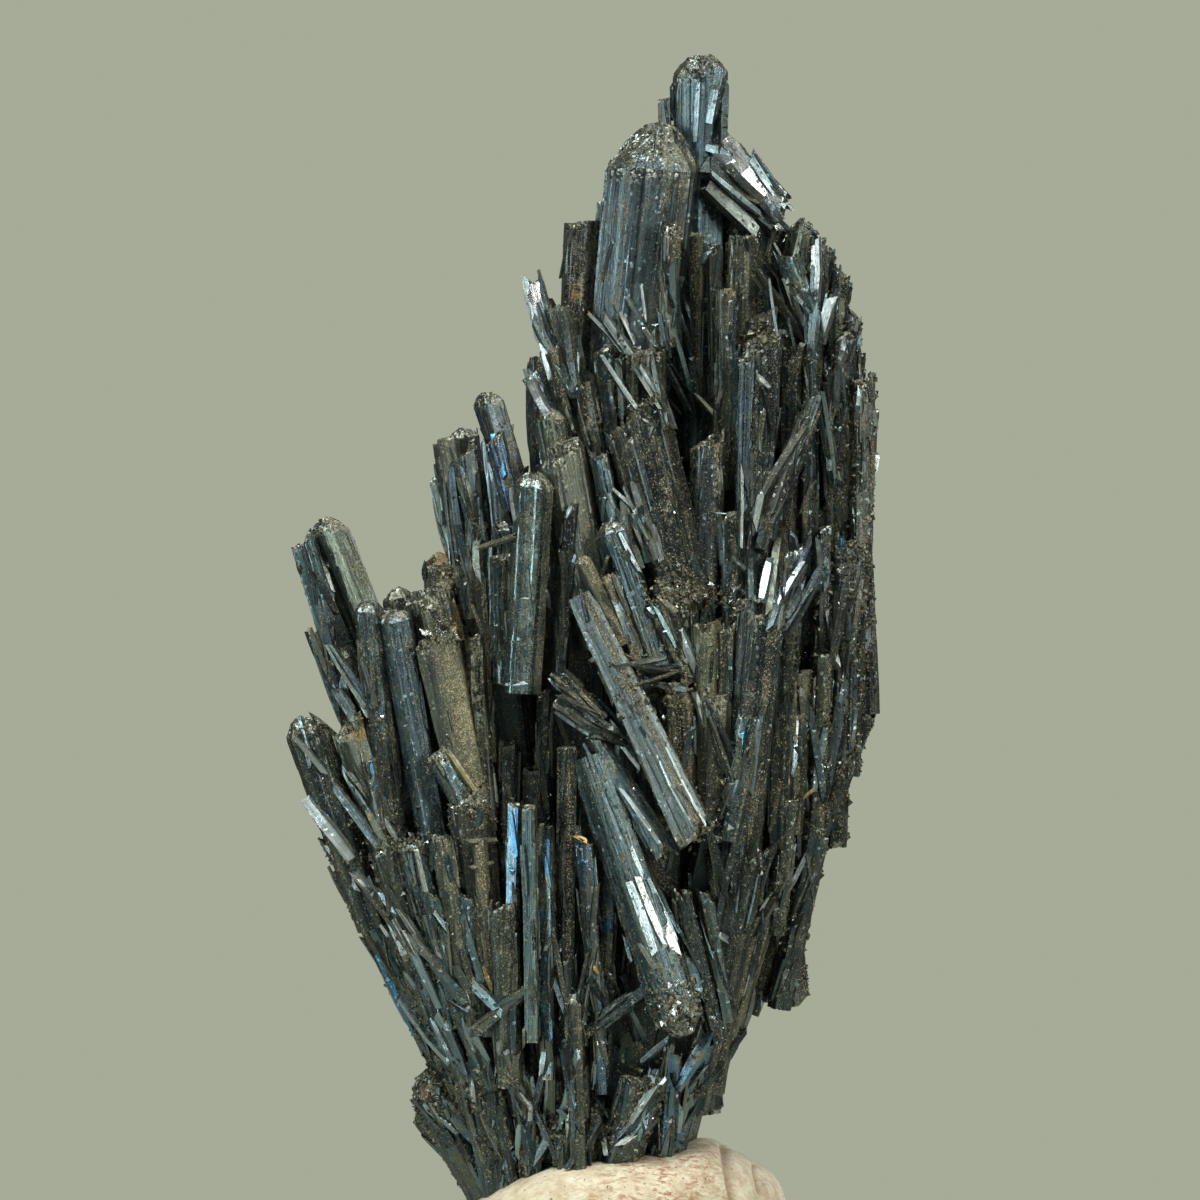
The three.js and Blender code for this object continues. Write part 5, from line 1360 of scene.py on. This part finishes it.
class Graph:
    """A node tree that is written as one call for each node."""

    def __init__(self, owner):
        owner.use_nodes = True
        self.tree = owner.node_tree
        self.tree.nodes.clear()

    def add(self, kind, inputs=None, **settings):
        node = self.tree.nodes.new(kind)
        for key, value in settings.items():
            setattr(node, key, value)
        for key, value in (inputs or {}).items():
            if isinstance(value, bpy.types.NodeSocket):
                self.tree.links.new(value, node.inputs[key])
            else:
                node.inputs[key].default_value = value
        return node

    def math(self, operation, *values, clamp=False):
        node = self.add("ShaderNodeMath", dict(enumerate(values)), operation=operation, use_clamp=clamp)
        return node.outputs[0]

    def plus(self, first, second):
        return self.math("ADD", first, second)

    def times(self, first, second, clamp=False):
        return self.math("MULTIPLY", first, second, clamp=clamp)

    def most(self, first, second, clamp=False):
        return self.math("MAXIMUM", first, second, clamp=clamp)

    def vector(self, operation, *values):
        return self.add("ShaderNodeVectorMath", dict(enumerate(values)), operation=operation).outputs[0]

    def noise(self, vector, scale, detail, roughness):
        values = {"Vector": vector, "Scale": scale, "Detail": detail, "Roughness": roughness}
        return self.add("ShaderNodeTexNoise", values).outputs["Fac"]

    def between(self, value, low, high, out_low=0.0, out_high=1.0):
        values = {"Value": value, "From Min": low, "From Max": high, "To Min": out_low, "To Max": out_high}
        return self.add("ShaderNodeMapRange", values).outputs["Result"]

    def blend(self, factor, first, second):
        return self.add("ShaderNodeMix", {0: factor, 2: first, 3: second}).outputs[0]

    def mix(self, factor, first, second, blend="MIX"):
        values = {0: factor, 6: first, 7: second}
        return self.add("ShaderNodeMix", values, data_type="RGBA", blend_type=blend).outputs[2]

    def ramp(self, factor, stops):
        node = self.add("ShaderNodeValToRGB", {"Fac": factor})
        elements = node.color_ramp.elements
        while len(elements) < len(stops):
            elements.new(0.5)
        for element, (place, colour) in zip(elements, stops):
            element.position = place
            element.color = (*colour, 1)
        return node.outputs["Color"]

    def channels(self, colour):
        return self.add("ShaderNodeSeparateColor", {"Color": colour}).outputs

    def surface(self):
        """The four values of the surface attribute."""
        node = self.add("ShaderNodeAttribute", attribute_name="surface")
        red, green, blue = self.channels(node.outputs["Color"])
        return red, green, blue, node.outputs["Alpha"]

    def millimetres(self):
        place = self.add("ShaderNodeTexCoord").outputs["Object"]
        return self.vector("MULTIPLY", place, (1 / MM, 1 / MM, 1 / MM))

    def bump(self, height, strength, distance, **extra):
        values = {"Height": height, "Strength": strength, "Distance": distance * MM, **extra}
        return self.add("ShaderNodeBump", values).outputs["Normal"]

    def shader(self, values):
        shader = self.add("ShaderNodeBsdfPrincipled", values)
        self.finish("ShaderNodeOutputMaterial", shader.outputs[0])

    def finish(self, kind, surface):
        self.add(kind, {"Surface": surface})


# Noises of the crystals: features per millimetre, detail and roughness. Two of them run along the grain
ALONG_FINE = (1, 1, 0.025)
ALONG_WIDE = (1, 1, 0.03)
FINE = (8.0, 3.0, 0.7)
WIDE = (1.6, 2.0, 0.55)
BLOTCHES = (0.5, 3.0, 0.6)
SPECKS = (12.0, 1.0, 0.5)
CRUMBS = (2.4, 3.0, 0.7)
FILM_TINTS = (6.0, 2.0, 0.6)
SPECK_TINTS = (7.0, 1.0, 0.5)
GRIT_HEIGHTS = (5.0, 2.0, 0.6)
CELLS = 5.0

# Masks of the crystals: the range that is read, then the range it becomes where that isn't 0 to 1
GROOVE_SHADE_AND_SHEEN = (0.75, 1.25, 0.5, 1.5)
TARNISHED = (0.42, 0.6)
GRITTY = (0.62, 0.95)
FACET_SHADES = (0.0, 1.0, 0.15, 1.8)
FACING_UP = (-0.2, 0.9)
DUSTY_PATCHES = (0.35, 0.7, -0.3, 0.3)
SPECKED = (0.668, 0.70)
FILMED = (1.05, 1.5)
FILM_HOLES = (0.42, 0.60, 0.1, 0.85)
IN_GROOVES = (0.46, 0.36)
GROOVE_DUST = (0.4, 1.1, 0.0, 0.6)
SOAKED = (0.60, 0.76)
SOAKED_DENSITY = (0.05, 0.45, 0.0, 0.85)
STAIN_SHADES = (0.34, 0.66, 0.25, 1.7)
GLOSS_PATCHES = (0.3, 0.7, -0.08, 0.1)

# How much each mask counts
TARNISH_WAVES = (0.9, 0.35)
UP_DUST = 0.30
SPECK_DUST = 0.15
CRUMBLED = 0.8
GRIT_SHARE = 0.75
STAIN_PULL = 0.26
STAIN_COVER = 0.8
FLAKE_CELLS = 0.93
FLAKE_TILT = 0.45
GRIT_TILT = 0.7
MOST_METALLIC = 0.97
DUST_ROUGHNESS = 0.82
FINE_HEIGHT = 0.6
WIDE_HEIGHT = 0.4
DUST_HEIGHT = 0.4
CRYSTAL_BUMP = (0.9, 0.06)

# Colours of broken ends, and of the tarnish, the dust's films and its specks as ramps from low to high
GRIT = (0.27, 0.29, 0.255, 1)
TARNISH_COLOURS = (
    (0.42, (0.10, 0.17, 0.20)),
    (0.52, (0.03, 0.20, 0.45)),
    (0.58, (0.10, 0.09, 0.30)),
    (0.64, (0.12, 0.36, 0.46)),
    (0.70, (0.36, 0.26, 0.07)),
    (0.78, (0.12, 0.20, 0.24)),
)
FILM_COLOURS = (
    (0.35, (0.022, 0.025, 0.018)),
    (0.50, (0.074, 0.078, 0.056)),
    (0.68, (0.24, 0.24, 0.17)),
)
SPECK_COLOURS = (
    (0.35, (0.09, 0.078, 0.040)),
    (0.52, (0.34, 0.285, 0.140)),
    (0.68, (0.66, 0.57, 0.36)),
)


def stibnite_material():
    material = bpy.data.materials.new("stibnite")
    graph = Graph(material)
    plus, times, most, between = graph.plus, graph.times, graph.most, graph.between
    place = graph.millimetres()
    grain = graph.add("ShaderNodeAttribute", attribute_name="grain").outputs["Vector"]
    metal = graph.add("ShaderNodeAttribute", attribute_name="metal").outputs["Color"]
    stain = graph.add("ShaderNodeAttribute", attribute_name="stain").outputs
    dust, tarnish, broken, rough = graph.surface()
    outward = graph.add("ShaderNodeNewGeometry").outputs["Normal"]
    up = graph.add("ShaderNodeSeparateXYZ", {"Vector": outward}).outputs["Z"]

    fine = graph.noise(graph.vector("MULTIPLY", grain, ALONG_FINE), *FINE)
    wide = graph.noise(graph.vector("MULTIPLY", grain, ALONG_WIDE), *WIDE)
    blotch = graph.noise(place, *BLOTCHES)
    specks = graph.noise(place, *SPECKS)
    crumbs = graph.noise(place, *CRUMBS)
    cells = graph.add("ShaderNodeTexVoronoi", {"Vector": place, "Scale": CELLS}).outputs["Color"]
    cell_parts = graph.channels(cells)

    # Clean metal, striped darker and lighter along the grain as painted shade in the grooves and painted sheen
    # between them, with tarnish colours in patches that run along the crystal
    tone = graph.mix(1.0, metal, between(plus(fine, wide), *GROOVE_SHADE_AND_SHEEN), "MULTIPLY")
    colours = graph.ramp(plus(times(wide, TARNISH_WAVES[0]), times(blotch, TARNISH_WAVES[1])), TARNISH_COLOURS)
    tone = graph.mix(times(tarnish, between(blotch, *TARNISHED), clamp=True), tone, colours)

    # Broken ends are pale and granular, each grain a little facet of its own
    gritty = between(plus(broken, times(crumbs, CRUMBLED)), *GRITTY)
    pale = graph.mix(1.0, GRIT, between(cell_parts[0], *FACET_SHADES), "MULTIPLY")
    tone = graph.mix(times(gritty, GRIT_SHARE), tone, pale)

    # Dust: fine specks on every side, more on what faces up, and films in patches and grooves
    amount = plus(dust, times(between(up, *FACING_UP), UP_DUST))
    amount = plus(amount, between(blotch, *DUSTY_PATCHES))
    speck = between(plus(specks, times(amount, SPECK_DUST)), *SPECKED)
    film = between(plus(graph.blend(0.5, crumbs, wide), amount), *FILMED)
    film = times(film, between(specks, *FILM_HOLES))
    film = most(film, times(between(fine, *IN_GROOVES), between(amount, *GROOVE_DUST)), clamp=True)
    cover = most(speck, film, clamp=True)
    colour = graph.mix(film, tone, graph.ramp(graph.noise(place, *FILM_TINTS), FILM_COLOURS))
    colour = graph.mix(speck, colour, graph.ramp(graph.noise(place, *SPECK_TINTS), SPECK_COLOURS))

    # Stains soak into the dust
    dense = stain["Alpha"]
    soaked = between(plus(crumbs, times(dense, STAIN_PULL)), *SOAKED)
    soaked = times(soaked, between(dense, *SOAKED_DENSITY))
    patchy = graph.mix(1.0, stain["Color"], between(specks, *STAIN_SHADES), "MULTIPLY")
    colour = graph.mix(soaked, colour, patchy)
    cover = most(cover, times(soaked, STAIN_COVER))

    # Facets of the grains tilt every way, and so do a few flakes on the crystals' sides
    flake = times(graph.math("GREATER_THAN", cell_parts[2], FLAKE_CELLS), FLAKE_TILT)
    tilt = most(times(gritty, GRIT_TILT), flake)
    tilts = graph.add("ShaderNodeCombineXYZ", {0: tilt, 1: tilt, 2: tilt}).outputs[0]
    leaning = graph.vector("MULTIPLY", graph.vector("SUBTRACT", cells, (0.5, 0.5, 0.5)), tilts)
    normal = graph.vector("NORMALIZE", graph.vector("ADD", outward, leaning))

    height = plus(times(fine, FINE_HEIGHT), times(wide, WIDE_HEIGHT))
    height = graph.blend(gritty, height, graph.noise(place, *GRIT_HEIGHTS))
    height = plus(height, times(cover, DUST_HEIGHT))
    gloss = plus(rough, between(crumbs, *GLOSS_PATCHES))
    graph.shader({
        "Base Color": colour,
        "Metallic": times(graph.math("SUBTRACT", 1.0, cover), MOST_METALLIC),
        "Roughness": graph.blend(cover, gloss, DUST_ROUGHNESS),
        "Normal": graph.bump(height, *CRYSTAL_BUMP, Normal=normal),
    })
    return material


# Noises of the putty: features per millimetre, detail and roughness. That of the smears is slanted
SMEAR_TURN = (0, math.radians(38), 0)
SMEAR_STRETCH = (0.6, 1, 1.7)
STREAKS = (2.4, 5.0, 0.8)
SOFT = (0.5, 3.0, 0.6)
CREAMS = (0.8, 4.0, 0.65)
DIRT_SPECKS = (3.6, 1.0, 0.5)
FINGER_SKIN = (5.0, 3.0, 0.6)

# Masks of the putty, how much specks and creases count, and its colours
SMEARED = (0.46, 0.58)
SMEAR_PATCHES = (0.30, 0.52)
SPECKLED = (0.71, 0.75)
DARK_SPOT_STREAKS = (0.4, 0.6)
SPECK_SHARE = 0.9
CREASE_SHADE_SHARE = 0.75
CREAM_COLOURS = (
    (0.35, (0.65, 0.55, 0.385)),
    (0.55, (0.81, 0.745, 0.57)),
    (0.72, (0.90, 0.86, 0.72)),
)
SMEAR_COLOUR = (0.42, 0.17, 0.09, 1)
SPECK_COLOUR = (0.07, 0.06, 0.05, 1)
# The colour that darkens the creases is painted shade
CREASE_SHADE_COLOUR = (0.30, 0.20, 0.11, 1)
DARK_SPOT_COLOUR = (0.10, 0.08, 0.06, 1)
PUTTY_ROUGHNESS = 0.7
PUTTY_GLOW = 0.12
PUTTY_GLOW_DEPTH = 0.0012
PUTTY_BUMP = (0.45, 0.12)


def putty_material():
    """Cream putty. Its surface attribute holds the creases, whose darker colour is painted shade, the smears
    and a dark spot.
    """
    material = bpy.data.materials.new("putty")
    graph = Graph(material)
    times, between = graph.times, graph.between
    place = graph.millimetres()
    crease, smeared, dark_spot, _ = graph.surface()
    slanting = {"Vector": place, "Rotation": SMEAR_TURN, "Scale": SMEAR_STRETCH}
    streaks = graph.noise(graph.add("ShaderNodeMapping", slanting).outputs[0], *STREAKS)
    cream = graph.ramp(graph.noise(place, *CREAMS), CREAM_COLOURS)
    smear = times(between(streaks, *SMEARED), between(graph.noise(place, *SOFT), *SMEAR_PATCHES))
    colour = graph.mix(times(smear, smeared), cream, SMEAR_COLOUR)
    specks = between(graph.noise(place, *DIRT_SPECKS), *SPECKLED)
    colour = graph.mix(times(specks, SPECK_SHARE), colour, SPECK_COLOUR)
    # Painted shade: the creases are darker
    colour = graph.mix(times(crease, CREASE_SHADE_SHARE), colour, CREASE_SHADE_COLOUR)
    # A darker, streaked spot on the front
    colour = graph.mix(times(dark_spot, between(streaks, *DARK_SPOT_STREAKS)), colour, DARK_SPOT_COLOUR)
    height = graph.plus(streaks, graph.noise(place, *FINGER_SKIN))
    graph.shader({
        "Base Color": colour,
        "Roughness": PUTTY_ROUGHNESS,
        "Subsurface Weight": PUTTY_GLOW,
        "Subsurface Scale": PUTTY_GLOW_DEPTH,
        "Normal": graph.bump(height, *PUTTY_BUMP),
    })
    return material


# Driving sizes of the putty in millimetres
PUTTY_HALF_WIDTH = 12.2
PUTTY_HALF_DEPTH = 12
PUTTY_HEIGHT = 10
BELLY_HEIGHT = 3.4
BALL_DEPTH = 8
SIDE_STEEPNESS = 0.6
TOP_ROUNDNESS = 0.5
LOBE = 0.035
LOBE_TURN = 0.6
SMALL_LOBE = 0.6
SLOPE_START = 2
LEFT_SLOPE = 0.021
FOLD = {"x": 6.8, "wide": 2.2, "high": 0.9}
PUTTY_AROUND = 300
PUTTY_UP = 150
POLE = 1e-9
SKIN_DEPTH = 0.16

# Finger dents: depth in millimetres, features per millimetre and seed
DENTS = ((0.12, 0.30, 3), (0.06, 0.9, 4), (0.02, 3.0, 5))

# Creases on the front: x at the top, how far it drifts outward, top, foot, half width and depth
CREASES = [
    {"x": 8.0, "drift": 1.5, "top": 11.4, "foot": 3.0, "wide": 0.26, "deep": 0.42},
    {"x": 10.2, "drift": 0.5, "top": 8.6, "foot": 6.6, "wide": 0.14, "deep": 0.25},
]
CREASE_BEND = 1.4
CREASE_FADE = 4
CREASE_RISE = 0.3
SMEAR = {"x": 3.6, "wide": 4.6, "least": 0.25}
SMEAR_DEPTH = 4
SPOT = {"x": 10.9, "z": 7.7, "wide": 0.35}


def putty_top(x):
    fall = LEFT_SLOPE * np.minimum(0, x - SLOPE_START) ** 2
    return PUTTY_HEIGHT - fall + FOLD["high"] * np.exp(-(((x - FOLD["x"]) / FOLD["wide"]) ** 2))


def crease_depth(points, crease):
    """How deep the crease is at each point, from 0 to 1."""
    x, y, z = points.T
    down = np.clip((crease["top"] - z) / (crease["top"] - crease["foot"]), 0, 1)
    line = crease["x"] + crease["drift"] * down ** CREASE_BEND
    held = (y < 0) * np.clip(CREASE_FADE * (1 - down), 0, 1) * (z < crease["top"] + CREASE_RISE)
    return held * np.exp(-(((x - line) / crease["wide"]) ** 2))


def putty_ball():
    """A ball of unit radius, as rings from top to bottom and then its two poles."""
    polar = np.linspace(0, math.pi, PUTTY_UP + 1)[1:-1]
    turns = np.linspace(0, 2 * math.pi, PUTTY_AROUND, endpoint=False)
    polar, turns = np.meshgrid(polar, turns, indexing="ij")
    rings = np.column_stack([
        (np.sin(polar) * np.cos(turns)).ravel(),
        (np.sin(polar) * np.sin(turns)).ravel(),
        np.cos(polar).ravel(),
    ])
    return np.concatenate([rings, [[POLE, 0, 1], [POLE, 0, -1]]])


def putty_piece(material):
    x, y, z = putty_ball().T
    around = np.arctan2(y, x)
    lobe = 1 + LOBE * (np.sin(3 * around + LOBE_TURN) + SMALL_LOBE * np.sin(5 * around))
    outward = lobe * np.maximum(np.hypot(x, y), TINY) ** (SIDE_STEEPNESS - 1)
    wide = PUTTY_HALF_WIDTH * x * outward
    deep = PUTTY_HALF_DEPTH * y * outward
    height = np.abs(z) ** TOP_ROUNDNESS * np.where(z > 0, putty_top(wide) - BELLY_HEIGHT, -BALL_DEPTH)
    shape = np.column_stack([wide, deep, BELLY_HEIGHT + height])
    creased = [crease_depth(shape, crease) for crease in CREASES]
    dents = sum(depth * value_noise(shape, scale, seed) for depth, scale, seed in DENTS)
    for crease, share in zip(CREASES, creased):
        dents += crease["deep"] * share
    inward = np.array([0, 0, BELLY_HEIGHT]) - shape
    inward /= np.linalg.norm(inward, axis=1, keepdims=True)
    shape += inward * (SKIN_DEPTH + dents)[:, None]
    shape[:, 2] = np.maximum(shape[:, 2], 0)

    # The surface values are crease, smear and dark spot
    surface = np.zeros((len(shape), 4))
    surface[:, 0] = np.maximum.reduce(creased)
    front = np.clip(-shape[:, 1] / SMEAR_DEPTH, 0, 1)
    smear = front * np.exp(-(((wide - SMEAR["x"]) / SMEAR["wide"]) ** 2))
    surface[:, 1] = SMEAR["least"] + (1 - SMEAR["least"]) * smear
    apart = np.hypot(shape[:, 0] - SPOT["x"], shape[:, 2] - SPOT["z"])
    surface[:, 2] = front * np.exp(-((apart / SPOT["wide"]) ** 2))
    blank = np.zeros((len(shape), 3))
    shells = Shells()
    shells.add(shape, ring_faces(PUTTY_UP - 1, PUTTY_AROUND)[:, ::-1], blank, blank, surface)
    piece = shells.build("putty", material, LUMP)
    piece.data.shade_smooth()


# Soft lights that all aim at the object's middle: place, size, power and colour
LIGHTS = {
    "top light": [(-0.10, -0.25, 0.75), (0.5, 0.35), 5.2, (0.99, 1.0, 0.93)],
    "left light": [(-0.75, -0.45, 0.16), (0.22, 0.6), 3.0, (0.90, 0.97, 0.94)],
    "right light": [(0.64, -0.60, 0.34), (0.25, 0.4), 3.2, (1.0, 0.96, 0.86)],
    "back light": [(0.45, 0.70, 0.40), (0.4, 0.5), 2.0, (0.95, 1.0, 0.97)],
}
LIT_MIDDLE = Vector((0, 0, 0.045))
BACKDROP = (0.385, 0.410, 0.318, 1)
ROOM = (0.31, 0.32, 0.27, 1)
ROOM_STRENGTH = 0.26


def soft_light(name, place, size, power, colour):
    data = bpy.data.lights.new(name, "AREA")
    data.shape = "RECTANGLE"
    data.size, data.size_y = size
    data.energy = power
    data.color = colour
    lamp = bpy.data.objects.new(name, data)
    lamp.location = place
    lamp.rotation_euler = (LIT_MIDDLE - Vector(place)).to_track_quat("-Z", "Y").to_euler()
    bpy.context.scene.collection.objects.link(lamp)


def studio():
    for name, light in LIGHTS.items():
        soft_light(name, *light)
    world = bpy.data.worlds.new("backdrop")
    bpy.context.scene.world = world
    graph = Graph(world)
    seen = graph.add("ShaderNodeLightPath").outputs["Is Camera Ray"]
    backdrop = graph.add("ShaderNodeBackground", {"Color": BACKDROP, "Strength": 1.0})
    room = graph.add("ShaderNodeBackground", {"Color": ROOM, "Strength": ROOM_STRENGTH})
    both = graph.add("ShaderNodeMixShader", {0: seen, 1: room.outputs[0], 2: backdrop.outputs[0]})
    graph.finish("ShaderNodeOutputWorld", both.outputs[0])


FLOOR_SIZE = 3.0
FLOOR_DROP = 0.0001
FLOOR_CLEAR = (0.06, 0.14, 1.0, 0.0)
FLOOR_COLOUR = (0.55, 0.56, 0.48, 1)


def floor():
    """A pale floor whose surface fades into the backdrop a little way from the object."""
    mesh = bpy.data.meshes.new("floor")
    half = FLOOR_SIZE / 2
    corners = [(-half, -half, 0), (half, -half, 0), (half, half, 0), (-half, half, 0)]
    mesh.from_pydata(corners, [], [(0, 1, 2, 3)])
    ground = bpy.data.objects.new("floor", mesh)
    ground.location.z = -FLOOR_DROP
    bpy.context.scene.collection.objects.link(ground)
    material = bpy.data.materials.new("floor")
    graph = Graph(material)
    place = graph.add("ShaderNodeTexCoord").outputs["Object"]
    far = graph.add("ShaderNodeVectorMath", {0: place}, operation="LENGTH").outputs["Value"]
    near = graph.between(far, *FLOOR_CLEAR)
    surface = graph.add("ShaderNodeBsdfDiffuse", {"Color": FLOOR_COLOUR})
    clear = graph.add("ShaderNodeBsdfTransparent")
    both = graph.add("ShaderNodeMixShader", {0: near, 1: clear.outputs[0], 2: surface.outputs[0]})
    graph.finish("ShaderNodeOutputMaterial", both.outputs[0])
    mesh.materials.append(material)


# Camera: the photograph's level view from a metre away, with this width of the object's plane in view
CAMERA_DISTANCE = 1.0
CLIP_END = 10
VIEW_WIDTH = 0.084
VIEW_CENTRE = (-0.0007, 0.0483)
SENSOR = 36.0


def camera():
    data = bpy.data.cameras.new("camera")
    data.sensor_width = SENSOR
    data.lens = SENSOR * CAMERA_DISTANCE / VIEW_WIDTH
    data.clip_end = CLIP_END
    viewer = bpy.data.objects.new("camera", data)
    viewer.location = (VIEW_CENTRE[0], -CAMERA_DISTANCE, VIEW_CENTRE[1])
    viewer.rotation_euler = (math.pi / 2, 0, 0)
    bpy.context.scene.collection.objects.link(viewer)
    bpy.context.scene.camera = viewer


camera()
studio()
floor()
dress(stibnite_material())
putty_piece(putty_material())
bpy.context.scene.view_settings.view_transform = "Standard"
